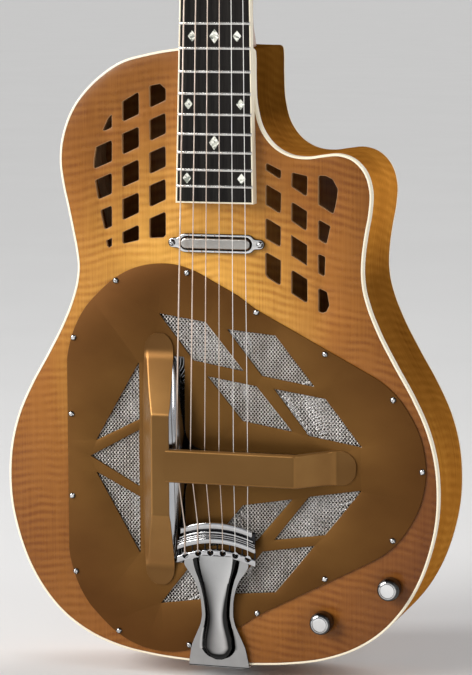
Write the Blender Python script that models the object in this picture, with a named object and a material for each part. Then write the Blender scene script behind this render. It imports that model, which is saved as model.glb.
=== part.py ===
"""Single-cutaway resonator guitar with three cones, standing upright.

+Z runs up the neck, the front faces -Y and the treble (cutaway) side is +X.
Shapes are laid out in millimetres in a body frame: X across, Y back from the
front face of the top plate, Z up from the twelfth fret. placed() turns that
into world metres, whose origin is where a hanger holds the headstock.
"""

import math

import bmesh
import bpy
from mathutils import Matrix, Vector

MM = 0.001
SCALE_LENGTH = 635.0
NUT_Z = SCALE_LENGTH / 2
HANGER_Z = 331.0
GAP = 0.3

# body box
DEPTH = 88.0
PLATE = 3.2
RIM_WALL = 2.6
BINDING_WIDTH = 1.8
TOP_BINDING_DEPTH = 6.0
BACK_BINDING_DEPTH = 4.0
LINING_WIDTH = 6.0
LINING_DEPTH = 12.0

# neck and fretboard; the neck leans back by NECK_SLOPE
NECK_SLOPE = 0.0234
BOARD_TOP = -7.2
BOARD_THICK = 6.5
BOARD_WIDTH_12 = 58.07
BOARD_TAPER = 0.0374
BOARD_END_Z = -118.7
BOARD_BINDING = 1.6
NUT_LENGTH = 5.0

# headstock, slotted, leaning back
HEAD_TILT = math.radians(14)
HEAD_FACE_DROP = 1.6
HEAD_THICK = 15.0
VENEER = 1.5
SLOT_IN, SLOT_OUT = 6.5, 24.0
SLOT_LOW, SLOT_HIGH = 16.0, 138.0
ROLLER_T = (50.0, 86.0, 122.0)
ROLLER_M = 6.0
ROLLER_R = 3.1
GEAR_R = 6.0
GEAR_X = (37.6, 40.6)
WORM_R = 2.4
WORM_X = 39.1
WORM_STEP = GEAR_R + WORM_R + 0.25

# resonators
MID_Z = -321.8
SADDLE_Z = -320.0
CONE_CENTRES = ((-45.5, MID_Z + 77.0), (-45.5, MID_Z - 77.0), (88.0, MID_Z))
CONE_R = 67.5
LEDGE_R = 62.5
LEDGE_Y = 25.0
COVER_FRONT = -1.5

# strings, bass to treble: nut x, saddle x, tail x, radius, roller x, roller index
STRINGS = (
    (-18.9, -29.1, -25.2, 0.67, -19.5, 0),
    (-11.4, -17.4, -14.6, 0.53, -14.5, 1),
    (-3.8, -5.8, -4.6, 0.42, -9.8, 2),
    (3.8, 5.9, 5.6, 0.33, 9.8, 2),
    (11.4, 17.6, 15.8, 0.22, 14.5, 1),
    (18.9, 29.1, 26.0, 0.2, 19.5, 0),
)
STRING_12 = -10.3
STRING_SLOPE = 0.0289

# the waist and lower bout are the same on both sides, from the waist down
LOWER_HALF = (
    (115.6, -171.0), (116.8, -183.0), (120.3, -196.0), (127.8, -214.5),
    (141.5, -240.5), (155.5, -265.0), (167.0, -290.0), (173.6, -315.0),
    (175.7, -340.0), (174.6, -361.0), (169.5, -385.5), (160.5, -410.5),
    (147.0, -433.5), (129.5, -452.5), (110.0, -465.5), (84.0, -475.5),
    (56.0, -480.6), (28.0, -483.0),
)
CUTAWAY = (
    (29.3, 0.0), (29.7, -22.0), (31.0, -44.0), (36.2, -62.0), (46.8, -75.0),
    (59.5, -81.2), (72.0, -82.3), (84.0, -80.6), (96.0, -79.6), (107.0, -82.8),
    (116.6, -91.8), (122.0, -107.6), (121.4, -124.0), (118.4, -141.0),
    (116.2, -157.0),
)
BASS_SHOULDER = (
    (-116.8, -159.0), (-119.6, -144.0), (-123.6, -124.5), (-127.6, -106.0),
    (-129.6, -90.0), (-128.6, -75.0), (-124.4, -59.5), (-118.0, -46.0),
    (-107.5, -32.5), (-94.5, -20.8), (-79.0, -11.0), (-56.0, -4.4), (-28.0, 0.0),
)
OUTLINE = (
    CUTAWAY + LOWER_HALF + ((0.0, -483.7),)
    + tuple((-x, z) for x, z in reversed(LOWER_HALF)) + BASS_SHOULDER
)

# sound holes: a grid of slanted openings clipped to an oval on each side
HOLES_BASS = (
    ((-55.1, -29.6), (-46.3, -27.8), (-41.8, -31.7), (-41.8, -40.3), (-54.8, -46.4)),
    ((-55.2, -55.9), (-42.1, -50.1), (-42.0, -66.0), (-54.8, -72.0)),
    ((-55.5, -81.4), (-42.3, -75.6), (-42.2, -91.6), (-55.3, -97.7)),
    ((-55.7, -107.0), (-42.5, -101.3), (-42.4, -117.3), (-55.5, -123.4)),
    ((-55.7, -132.6), (-42.5, -126.7), (-42.6, -145.0), (-44.7, -146.9), (-55.7, -147.5)),
    ((-77.3, -41.9), (-63.8, -34.0), (-63.8, -51.3), (-77.2, -57.5)),
    ((-77.7, -67.0), (-64.0, -61.0), (-64.0, -76.8), (-77.5, -83.0)),
    ((-77.8, -92.6), (-64.3, -86.5), (-64.2, -102.4), (-77.8, -108.4)),
    ((-77.9, -118.1), (-64.5, -112.2), (-64.5, -127.9), (-77.8, -134.2)),
    ((-78.0, -143.7), (-64.6, -137.5), (-64.7, -149.4), (-78.0, -152.7)),
    ((-86.0, -51.5), (-86.0, -61.9), (-94.4, -65.8), (-91.5, -59.8), (-89.2, -55.1)),
    ((-86.1, -71.7), (-86.3, -88.2), (-101.3, -94.6), (-101.1, -87.8), (-99.3, -77.5)),
    ((-86.4, -97.3), (-86.6, -113.5), (-97.9, -118.3), (-100.3, -103.5)),
    ((-86.7, -122.9), (-86.8, -139.1), (-92.9, -141.8), (-96.0, -127.0)),
    ((-86.9, -148.4), (-87.0, -154.4), (-89.3, -156.0), (-90.7, -154.5), (-91.4, -150.6)),
)
HOLES_TREBLE = (
    ((38.4, -87.2), (50.6, -93.1), (50.4, -100.1), (38.5, -92.9)),
    ((38.3, -103.7), (50.6, -110.5), (50.2, -126.4), (38.4, -119.5)),
    ((38.2, -129.5), (50.3, -136.5), (50.1, -152.1), (38.3, -145.7)),
    ((38.1, -156.0), (50.3, -162.4), (50.1, -181.9), (39.9, -176.0), (38.2, -173.4)),
    ((59.1, -94.4), (71.5, -97.1), (71.1, -112.9), (59.0, -105.2)),
    ((58.9, -116.7), (71.2, -124.0), (70.9, -139.2), (58.9, -131.5)),
    ((58.8, -142.7), (71.2, -150.0), (71.0, -165.5), (58.9, -158.2)),
    ((58.9, -169.2), (71.4, -176.4), (71.4, -194.9), (58.9, -187.4)),
    ((80.2, -96.6), (85.8, -96.5), (91.4, -99.1), (95.5, -106.5), (94.6, -114.3),
     (92.1, -125.8), (80.2, -118.5)),
    ((80.2, -130.0), (89.7, -135.0), (86.6, -149.1), (80.2, -145.1)),
    ((79.9, -156.2), (85.6, -158.6), (85.2, -174.2), (80.2, -171.2)),
    ((80.2, -182.6), (87.0, -185.7), (88.9, -195.9), (86.6, -200.7), (83.4, -202.0),
     (80.3, -200.9)),
)

# coverplate half outline and openings as (x, distance from the saddle line)
COVER_HALF = (
    (165.8, 0.0), (164.4, 14.2), (160.2, 29.4), (154.4, 41.1), (142.1, 58.2),
    (123.9, 72.1), (85.2, 92.6), (33.0, 119.8), (15.4, 131.6), (0.0, 139.8),
    (-19.7, 149.8), (-33.0, 153.8), (-50.5, 154.4), (-67.8, 150.8), (-85.9, 141.3),
    (-98.6, 130.1), (-109.2, 118.4), (-117.8, 103.2), (-122.3, 90.2), (-125.0, 74.0),
    (-125.2, 37.0),
)
DIAMONDS = (
    ((-48.0, 115.5), (-10.0, 109.8), (20.8, 72.4), (-20.1, 79.5)),
    ((7.5, 104.8), (46.0, 101.2), (77.5, 62.5), (35.5, 69.4)),
    ((-8.6, 67.3), (30.8, 61.0), (59.8, 26.7), (19.7, 33.4)),
    ((45.2, 59.5), (86.1, 53.4), (115.0, 17.0), (73.0, 24.0)),
)
SIDE_TRIANGLE = ((-65.0, 76.3), (-65.0, 31.0), (-101.2, 12.6))
MID_TRIANGLE = ((-65.3, 22.4), (-65.3, -22.4), (-105.8, 0.0))
# the bridge's long bar as (distance from the saddle line, crown, back edge, front edge)
BAR_STEPS = (
    (80.0, -2.0, 52.0, 38.0), (72.0, -6.0, 54.0, 36.0), (55.0, -12.0, 55.0, 34.5),
    (35.0, -15.5, 55.0, 34.0),
)
BRIDGE_SLOT = (
    (-56.0, 82.0), (-27.5, 82.0), (-27.5, 9.0), (92.0, 9.0), (92.0, -9.0),
    (-27.5, -9.0), (-27.5, -82.0), (-56.0, -82.0),
)
PICKUP = (-0.9, -150.3)
KNOBS = ((138.2, -413.9), (84.3, -444.0))

FINISHES = {
    "maple": ((0.62, 0.33, 0.10), 0.0, 0.25),
    "maple_side": ((0.45, 0.22, 0.07), 0.0, 0.25),
    "spruce": ((0.66, 0.47, 0.27), 0.0, 0.7),
    "mahogany": ((0.28, 0.12, 0.05), 0.0, 0.35),
    "ebony": ((0.02, 0.018, 0.016), 0.0, 0.45),
    "cream": ((0.85, 0.77, 0.60), 0.0, 0.35),
    "bronze": ((0.30, 0.17, 0.07), 0.8, 0.4),
    "chrome": ((0.8, 0.8, 0.82), 1.0, 0.08),
    "nickel": ((0.72, 0.71, 0.69), 1.0, 0.3),
    "aluminium": ((0.75, 0.76, 0.78), 1.0, 0.35),
    "screen": ((0.6, 0.6, 0.6), 1.0, 0.4),
    "steel": ((0.4, 0.4, 0.42), 1.0, 0.4),
    "bronze_string": ((0.80, 0.55, 0.42), 1.0, 0.3),
    "plain_string": ((0.80, 0.79, 0.77), 1.0, 0.25),
    "pearl": ((0.86, 0.84, 0.78), 0.0, 0.3),
}


def finish(name):
    material = bpy.data.materials.get(name)
    if material:
        return material
    colour, metallic, roughness = FINISHES[name]
    material = bpy.data.materials.new(name)
    material.use_nodes = True
    shader = material.node_tree.nodes["Principled BSDF"]
    shader.inputs["Base Color"].default_value = (*colour, 1.0)
    shader.inputs["Metallic"].default_value = metallic
    shader.inputs["Roughness"].default_value = roughness
    return material


def placed(point):
    return Vector((point[0], point[1], point[2] - HANGER_Z)) * MM


def add(name, bm, material, origin=(0.0, 0.0, HANGER_Z)):
    """An object from a bmesh in body millimetres, with its origin at a body point."""
    bmesh.ops.recalc_face_normals(bm, faces=bm.faces)
    base = placed(origin)
    for vert in bm.verts:
        vert.co = placed(vert.co) - base
    mesh = bpy.data.meshes.new(name)
    bm.to_mesh(mesh)
    bm.free()
    obj = bpy.data.objects.new(name, mesh)
    obj.location = base
    bpy.context.scene.collection.objects.link(obj)
    obj.data.materials.append(finish(material))
    return obj


def helper(name, bm):
    obj = add(name, bm, "steel")
    obj.hide_render = True
    obj.display_type = "WIRE"
    return obj


def boolean(obj, tool, operation):
    modifier = obj.modifiers.new(operation.title(), "BOOLEAN")
    modifier.operation = operation
    modifier.solver = "EXACT"
    modifier.object = tool


def in_body(u, v, w):
    """Slab frame of the body: u across, v up, w back from the top plate."""
    return Vector((u, w, v))


def neck_point(x, depth, z):
    """A point of the neck, depth behind the face of the fretboard."""
    return Vector((x, BOARD_TOP + NECK_SLOPE * z + depth, z))


HEAD_BASE = neck_point(0.0, HEAD_FACE_DROP, NUT_Z + NUT_LENGTH + 0.7)
HEAD_UP = Vector((0.0, math.sin(HEAD_TILT), math.cos(HEAD_TILT)))
HEAD_IN = Vector((0.0, math.cos(HEAD_TILT), -math.sin(HEAD_TILT)))


def head_point(x, t, m):
    """A point of the headstock, t along it from the nut and m behind its face."""
    return HEAD_BASE + Vector((x, 0.0, 0.0)) + HEAD_UP * t + HEAD_IN * m


def slab(loops, low, high, frame=in_body):
    """A plate with openings: loops[0] is its edge, the others its holes."""
    bm = bmesh.new()
    edges = []
    for loop in loops:
        verts = [bm.verts.new(frame(u, v, low)) for u, v in loop]
        edges += [bm.edges.new((verts[i - 1], verts[i])) for i in range(len(verts))]
    bmesh.ops.triangle_fill(bm, use_beauty=True, use_dissolve=False, edges=edges)
    shift = frame(0.0, 0.0, high) - frame(0.0, 0.0, low)
    made = bmesh.ops.extrude_face_region(bm, geom=bm.faces[:])
    moved = [part for part in made["geom"] if isinstance(part, bmesh.types.BMVert)]
    bmesh.ops.translate(bm, vec=shift, verts=moved)
    return bm


def inset(loop, distance):
    """The loop moved inwards by a distance, with mitred corners."""
    area = sum(
        loop[i - 1][0] * loop[i][1] - loop[i][0] * loop[i - 1][1]
        for i in range(len(loop))
    )
    turn = 1.0 if area > 0 else -1.0
    result = []
    for i, point in enumerate(loop):
        here = Vector(point)
        before = (here - Vector(loop[i - 1])).normalized()
        after = (Vector(loop[(i + 1) % len(loop)]) - here).normalized()
        normal_a = Vector((-before.y, before.x)) * turn
        normal_b = Vector((-after.y, after.x)) * turn
        middle = (normal_a + normal_b).normalized()
        reach = distance / max(middle.dot(normal_a), 0.5)
        result.append(tuple(here + middle * reach))
    return result


def circle(centre, radius, count):
    step = 2 * math.pi / count
    return [
        (centre[0] + radius * math.cos(i * step), centre[1] + radius * math.sin(i * step))
        for i in range(count)
    ]


def stadium(centre, length, height, count=7):
    """A slot with round ends; count points on each end."""
    radius = height / 2
    straight = length / 2 - radius
    points = []
    for side in (1, -1):
        for i in range(count):
            angle = math.pi * (i / (count - 1) - 0.5) + (0 if side > 0 else math.pi)
            points.append(
                (
                    centre[0] + side * straight + radius * math.cos(angle),
                    centre[1] + radius * math.sin(angle),
                )
            )
    return points


def loft(rings, closed=False):
    """Skin a list of rings with equal point counts; ends are capped unless closed."""
    bm = bmesh.new()
    rows = [[bm.verts.new(point) for point in ring] for ring in rings]
    count = len(rows[0])
    last = len(rows) if closed else len(rows) - 1
    for r in range(last):
        low, high = rows[r], rows[(r + 1) % len(rows)]
        for i in range(count):
            j = (i + 1) % count
            bm.faces.new((low[i], low[j], high[j], high[i]))
    bmesh.ops.triangulate(bm, faces=bm.faces[:])
    if not closed:
        bm.faces.new(rows[0])
        bm.faces.new(rows[-1])
    return bm


def turned(profile, base, along, count):
    """A closed (radius, height) profile turned about the line base + h * along."""
    along = Vector(along).normalized()
    across = along.orthogonal().normalized()
    other = along.cross(across)
    bm = bmesh.new()
    rows = []
    for radius, height in profile:
        centre = Vector(base) + along * height
        if radius < 1e-6:
            rows.append([bm.verts.new(centre)])
            continue
        row = []
        for i in range(count):
            angle = 2 * math.pi * i / count
            row.append(
                bm.verts.new(
                    centre + (across * math.cos(angle) + other * math.sin(angle)) * radius
                )
            )
        rows.append(row)
    touches_axis = len(rows[0]) == 1 and len(rows[-1]) == 1
    pairs = list(zip(rows, rows[1:]))
    if not touches_axis:
        pairs.append((rows[-1], rows[0]))
    for low, high in pairs:
        for i in range(count):
            j = (i + 1) % count
            if len(low) == 1:
                bm.faces.new((low[0], high[j], high[i]))
            elif len(high) == 1:
                bm.faces.new((low[i], low[j], high[0]))
            else:
                bm.faces.new((low[i], low[j], high[j], high[i]))
    return bm


def box(low, high, frame=in_body):
    """A block between two (u, v, w) corners of a frame."""
    ends = [
        [
            frame(u, v, w)
            for u, v in ((low[0], low[1]), (high[0], low[1]), (high[0], high[1]), (low[0], high[1]))
        ]
        for w in (low[2], high[2])
    ]
    return loft(ends)


def rod(start, end, radius, count):
    """A round bar from one body point to another."""
    along = Vector(end) - Vector(start)
    length = along.length
    return turned([(0, 0), (radius, 0), (radius, length), (0, length)], start, along, count)


def joined(parts):
    """One bmesh of several, kept as separate shells for use as a Boolean tool."""
    whole = bmesh.new()
    for part in parts:
        mesh = bpy.data.meshes.new("piece")
        bmesh.ops.recalc_face_normals(part, faces=part.faces)
        part.to_mesh(mesh)
        part.free()
        whole.from_mesh(mesh)
        bpy.data.meshes.remove(mesh)
    return whole


def swept(path, radius, count=6):
    """A round wire along body points."""
    rings = []
    for i, point in enumerate(path):
        here = Vector(point)
        before = Vector(path[max(i - 1, 0)])
        after = Vector(path[min(i + 1, len(path) - 1)])
        along = (after - before).normalized()
        across = along.cross(Vector((1.0, 0.0, 0.0))).normalized()
        other = along.cross(across)
        ring = []
        for k in range(count):
            angle = 2 * math.pi * k / count
            ring.append(here + (across * math.cos(angle) + other * math.sin(angle)) * radius)
        rings.append(ring)
    return loft(rings)


def cover_loop(distance=0.0):
    upper = [(x, MID_Z + d) for x, d in COVER_HALF]
    lower = [(x, MID_Z - d) for x, d in reversed(COVER_HALF[1:])]
    loop = upper + lower
    return inset(loop, distance) if distance else loop


def mirrored(shape, side):
    return [(x, MID_Z + side * d) for x, d in shape]


def build_box():
    outline = list(OUTLINE)
    inner = inset(outline, RIM_WALL)
    rim = slab([outline, inner], TOP_BINDING_DEPTH + GAP, DEPTH - BACK_BINDING_DEPTH - GAP)
    rim_obj = add("body_rim", rim, "maple_side")
    pin_hole = rod((0, 44, -470), (0, 44, -492), 6.4, 16)
    boolean(rim_obj, helper("cut_pin_rim", pin_hole), "DIFFERENCE")
    band = inset(outline, BINDING_WIDTH)
    add("top_binding", slab([outline, band], 0.0, TOP_BINDING_DEPTH), "cream")
    add("back_binding", slab([outline, band], DEPTH - BACK_BINDING_DEPTH, DEPTH), "cream")
    edge = inset(outline, BINDING_WIDTH + GAP)
    well = cover_loop(7.0)
    openings = [list(hole) for hole in HOLES_BASS + HOLES_TREBLE]
    openings += [well, stadium(PICKUP, 58.0, 10.6, 5)]
    openings += [circle((PICKUP[0] + s * 35.6, PICKUP[1]), 1.9, 8) for s in (1, -1)]
    openings += [circle(centre, 5.0, 12) for centre in KNOBS]
    add("top_plate", slab([edge] + openings, 0.0, PLATE), "maple")
    add("back_plate", slab([edge], DEPTH - PLATE, DEPTH), "maple")
    lining = inset(outline, RIM_WALL + GAP)
    lining_in = inset(outline, RIM_WALL + GAP + LINING_WIDTH)
    low = PLATE + GAP
    add("top_lining", slab([lining, lining_in], low, low + LINING_DEPTH), "spruce")
    high = DEPTH - PLATE - GAP
    add("back_lining", slab([lining, lining_in], high - LINING_DEPTH, high), "spruce")
    clear = low + LINING_DEPTH + GAP
    block = box((-34.0, -62.0, clear), (25.8, -4.6, DEPTH - clear))
    block_obj = add("neck_block", block, "mahogany")
    inner_block = box((-30.0, -62.0, low), (19.6, -9.6, DEPTH - low))
    boolean(block_obj, helper("neck_block_core", inner_block), "UNION")
    behind_well = LEDGE_Y + 3.0 + 2 * GAP
    tail = box((-27.0, -479.4, behind_well), (27.0, -445.0, DEPTH - clear))
    tail_obj = add("tail_block", tail, "mahogany")
    inner_tail = box((-27.0, -473.4, 40.0), (27.0, -445.4, DEPTH - low))
    boolean(tail_obj, helper("tail_block_core", inner_tail), "UNION")
    pin_bore = rod((0, 44, -440), (0, 44, -492), 6.4, 16)
    boolean(tail_obj, helper("cut_pin_block", pin_bore), "DIFFERENCE")
    profile = [
        (0, 0), (10.0, 0), (10.0, 1.6), (6.0, 2.2), (6.0, 5.2), (5.9, 46.0),
        (3.4, 46.0), (3.4, -6.0), (8.0, -6.0), (8.5, -4.0), (7.0, -2.0),
        (7.0, 0),
    ]
    pin_profile = profile[7:] + [(10.0, 0.0)] + profile[2:7]
    add("end_pin_jack", turned(pin_profile, (0, 44, -488.7), (0, 0, 1), 16), "chrome")


def build_resonators():
    wall = slab([cover_loop(5.0), cover_loop(7.0)], PLATE + GAP, LEDGE_Y + 0.5)
    well = add("soundwell", wall, "spruce")
    holes = [circle(centre, LEDGE_R, 20) for centre in CONE_CENTRES]
    floor = slab([cover_loop(5.0)] + holes, LEDGE_Y, LEDGE_Y + 3.0)
    boolean(well, helper("well_floor", floor), "UNION")
    front = LEDGE_Y - GAP
    names = ("cone_bass_upper", "cone_bass_lower", "cone_treble")
    profile = (
        (0.0, 16.8), (8.6, 16.8), (33.6, 9.4), (55.4, 5.4), (60.6, 0.0), (CONE_R, 0.0),
        (CONE_R, 0.8), (61.4, 0.8), (56.0, 6.4), (34.0, 10.4), (12.0, 17.0),
        (9.0, 17.6), (0.0, 17.6),
    )
    for name, centre in zip(names, CONE_CENTRES):
        base = (centre[0], front, centre[1])
        add(name, turned(profile, base, (0, -1, 0), 20), "aluminium")
    foot = front - 17.6 - GAP
    bar = loft(
        [
            [Vector((x, y, MID_Z + d)) for x, y in shape]
            for d, shape in (
                (side * d, ((-low, 4.4), (-31.5, 4.4), (-high, top), (-50.0, top)))
                for side, steps in ((-1, BAR_STEPS), (1, BAR_STEPS[::-1]))
                for d, top, low, high in steps
            )
        ]
    )
    bridge = add("t_bridge", bar, "aluminium")
    arm = loft(
        [
            [
                Vector((x, 3.6, MID_Z - 7.5)), Vector((x, 3.6, MID_Z + 7.5)),
                Vector((x, top, MID_Z + 5.5)), Vector((x, top, MID_Z - 5.5)),
            ]
            for x, top in ((-36.0, -11.0), (40.0, -11.0), (62.0, -6.0), (90.0, -3.0))
        ]
    )
    boolean(bridge, helper("bridge_arm", arm), "UNION")
    feet = joined(
        [rod((x, foot, z), (x, 2.0, z), 7.5, 16) for x, z in CONE_CENTRES]
    )
    boolean(bridge, helper("bridge_feet", feet), "UNION")
    top = STRING_12 + STRING_SLOPE * SADDLE_Z
    saddle = loft(
        [
            [Vector((x, y, SADDLE_Z + w)) for w, y in ((-2, -11.3), (2, -11.3), (1.2, crown), (-1.2, crown))]
            for x, crown in ((-33.0, top + 1.3), (-20.0, top + 1.0), (20.0, top + 0.7), (33.0, top + 0.6))
        ]
    )
    add("saddle", saddle, "maple")


def build_cover():
    openings = [mirrored(BRIDGE_SLOT, 1), mirrored(MID_TRIANGLE, 1)]
    for side in (1, -1):
        openings += [mirrored(shape, side) for shape in DIAMONDS]
        openings.append(mirrored(SIDE_TRIANGLE, side))
    add("coverplate", slab([cover_loop()] + openings, COVER_FRONT, -GAP), "bronze")
    sheets = (
        ("screen_upper", ((-52.0, 119.0), (-4.0, 116.0), (48.0, 102.8), (119.0, 14.5),
                          (68.0, 13.0), (14.0, 29.0), (-24.0, 76.0)), 1),
        ("screen_lower", ((-52.0, 119.0), (-4.0, 116.0), (48.0, 102.8), (119.0, 14.5),
                          (68.0, 13.0), (14.0, 29.0), (-24.0, 76.0)), -1),
        ("screen_bass", ((-60.5, 82.0), (-60.5, -82.0), (-72.0, -80.0), (-111.0, -6.0),
                         (-111.0, 6.0), (-72.0, 80.0)), 1),
    )
    for name, shape, side in sheets:
        add(name, slab([mirrored(shape, side)], 0.1, 0.9), "screen")
    # the hand rest is bent sheet: a sloping flank and a top, open towards the strings
    seat = COVER_FRONT - GAP
    crest = -29.0
    sheet = 1.2

    def section(d, rise, left, right):
        """One cross-section of the long bar: rise 0 lies flat, 1 stands full height."""
        low = seat
        top = seat + (crest - seat) * rise
        shoulder = left + (right - left) * (0.12 + 0.42 * rise)
        thick = sheet
        points = [
            (left, low), (left, low - thick + 0.3), (shoulder, min(top, low - thick)),
            (right, min(top, low - thick)), (right, min(top + thick, low)),
            (shoulder + 1.0, min(top + thick, low) - 0.05), (left + 1.2, low),
        ]
        return [Vector((x, y, MID_Z + d)) for x, y in points]

    stations = [
        (-100.0, 0.0, -51.0, -44.5), (-97.0, 0.0, -56.5, -39.0), (-91.0, 0.0, -59.0, -36.7),
        (-84.0, 0.04, -60.5, -35.5), (-74.0, 0.30, -61.5, -33.5), (-56.0, 0.74, -62.0, -32.5),
        (-39.0, 1.0, -62.0, -32.0),
    ]
    stations += [(-d, rise, a, b) for d, rise, a, b in reversed(stations)]
    bar = add("handrest", loft([section(*row) for row in stations]), "bronze")

    def rib(x, rise, half):
        top = seat + (crest - 0.9 - seat) * rise
        lip = min(top + 5.0, seat)
        under = min(top + sheet, seat)
        front = min(top, seat - sheet)
        points = [
            (half, lip), (half, front + 0.3 + rise), (half - 1.6, front), (1.6 - half, front),
            (-half, front + 0.3 + rise), (-half, lip), (sheet - half, lip),
            (2.0 - half, under - 0.05), (half - 2.0, under - 0.05), (half - sheet, lip),
        ]
        return [Vector((x, y, MID_Z + d)) for d, y in points]

    ribs = (
        (-36.0, 1.0, 13.0), (69.4, 1.0, 13.0), (82.0, 0.52, 13.3), (93.0, 0.06, 13.5),
        (101.0, 0.0, 12.6), (108.0, 0.0, 8.0), (111.0, 0.0, 3.0),
    )
    boolean(bar, helper("rest_arm", loft([rib(*row) for row in ribs])), "UNION")


def build_tail():
    """Trapeze tailpiece: an arched comb, two wings, a waist and a strap over the tail."""
    comb_y = -10.0

    def arc(x, drop):
        return -368.5 - drop - 0.0065 * x * x

    upper = [(x, arc(x, 0.0)) for x in (-32, -24, -12, 0, 12, 24, 32)]
    lower = [(x, arc(x, 27.0)) for x in (31, 16, 0, -16, -31)]
    slots = [
        [(x - 4.0, arc(x - 4.0, 5.5)), (x + 4.0, arc(x + 4.0, 5.5)),
         (x + 4.0, arc(x + 4.0, 10.0)), (x - 4.0, arc(x - 4.0, 10.0))]
        for x in (-21.0, -10.5, 0.0, 10.5, 21.0)
    ]
    holes = [circle((row[2], -392.4 - 0.0052 * row[2] ** 2), 1.5, 8) for row in STRINGS]
    comb = slab([upper + lower] + slots + holes, comb_y, comb_y + 2.6)
    tail = add("tailpiece", comb, "chrome")
    stations = (
        (-392.0, 0.0, 29.0, comb_y), (-405.0, 0.0, 25.5, comb_y + 0.6), (-425.0, 0.0, 19.0, -8.4),
        (-445.0, 0.0, 13.8, -6.0), (-460.0, 0.0, 16.0, -4.9), (-476.0, 0.0, 22.5, -4.0),
        (-486.0, 0.0, 24.5, -2.8),
    )
    strap = loft(
        [
            [Vector((-half, y + 2.0, z)), Vector((half, y + 2.0, z)),
             Vector((half, y, z)), Vector((-half, y, z))]
            for z, _, half, y in stations[1:]
        ]
    )
    boolean(tail, helper("tail_strap", strap), "UNION")
    flute = loft(
        [
            [Vector((x * half, y - 0.2 - rise * (1 - x * x), z)) for x in (-1, -0.6, 0, 0.6, 1)]
            + [Vector((half, y + 1.2, z)), Vector((-half, y + 1.2, z))]
            for z, half, rise, y in (
                (-394.0, 17.5, 0.6, comb_y), (-408.0, 13.5, 4.0, -9.2), (-425.0, 9.0, 4.6, -8.4),
                (-440.0, 6.6, 4.4, -6.2), (-452.0, 9.5, 4.2, -5.0), (-465.0, 12.3, 3.4, -4.0),
                (-478.0, 8.0, 0.6, -2.8),
            )
        ]
    )
    boolean(tail, helper("tail_flute", flute), "UNION")
    shape = [(24.5, -2.4), (24.5, 20.0), (18.0, 36.0), (12.0, 52.0), (8.0, 57.0)]
    skirt_loop = [(x, y) for x, y in shape] + [(-x, y) for x, y in reversed(shape)]

    def downwards(u, v, w):
        return Vector((u, v, w))

    skirt = slab([skirt_loop, circle((0.0, 44.0), 6.6, 14)], -486.2, -484.6, downwards)
    boolean(tail, helper("tail_skirt", skirt), "UNION")


def board_half(z):
    return (BOARD_WIDTH_12 - BOARD_TAPER * z) / 2


def board_bottom(z):
    """Depth of the fretboard's underside: flat on the neck, a wedge over the body."""
    if z >= 2.0:
        return BOARD_THICK
    return -GAP - BOARD_TOP - NECK_SLOPE * z


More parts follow.
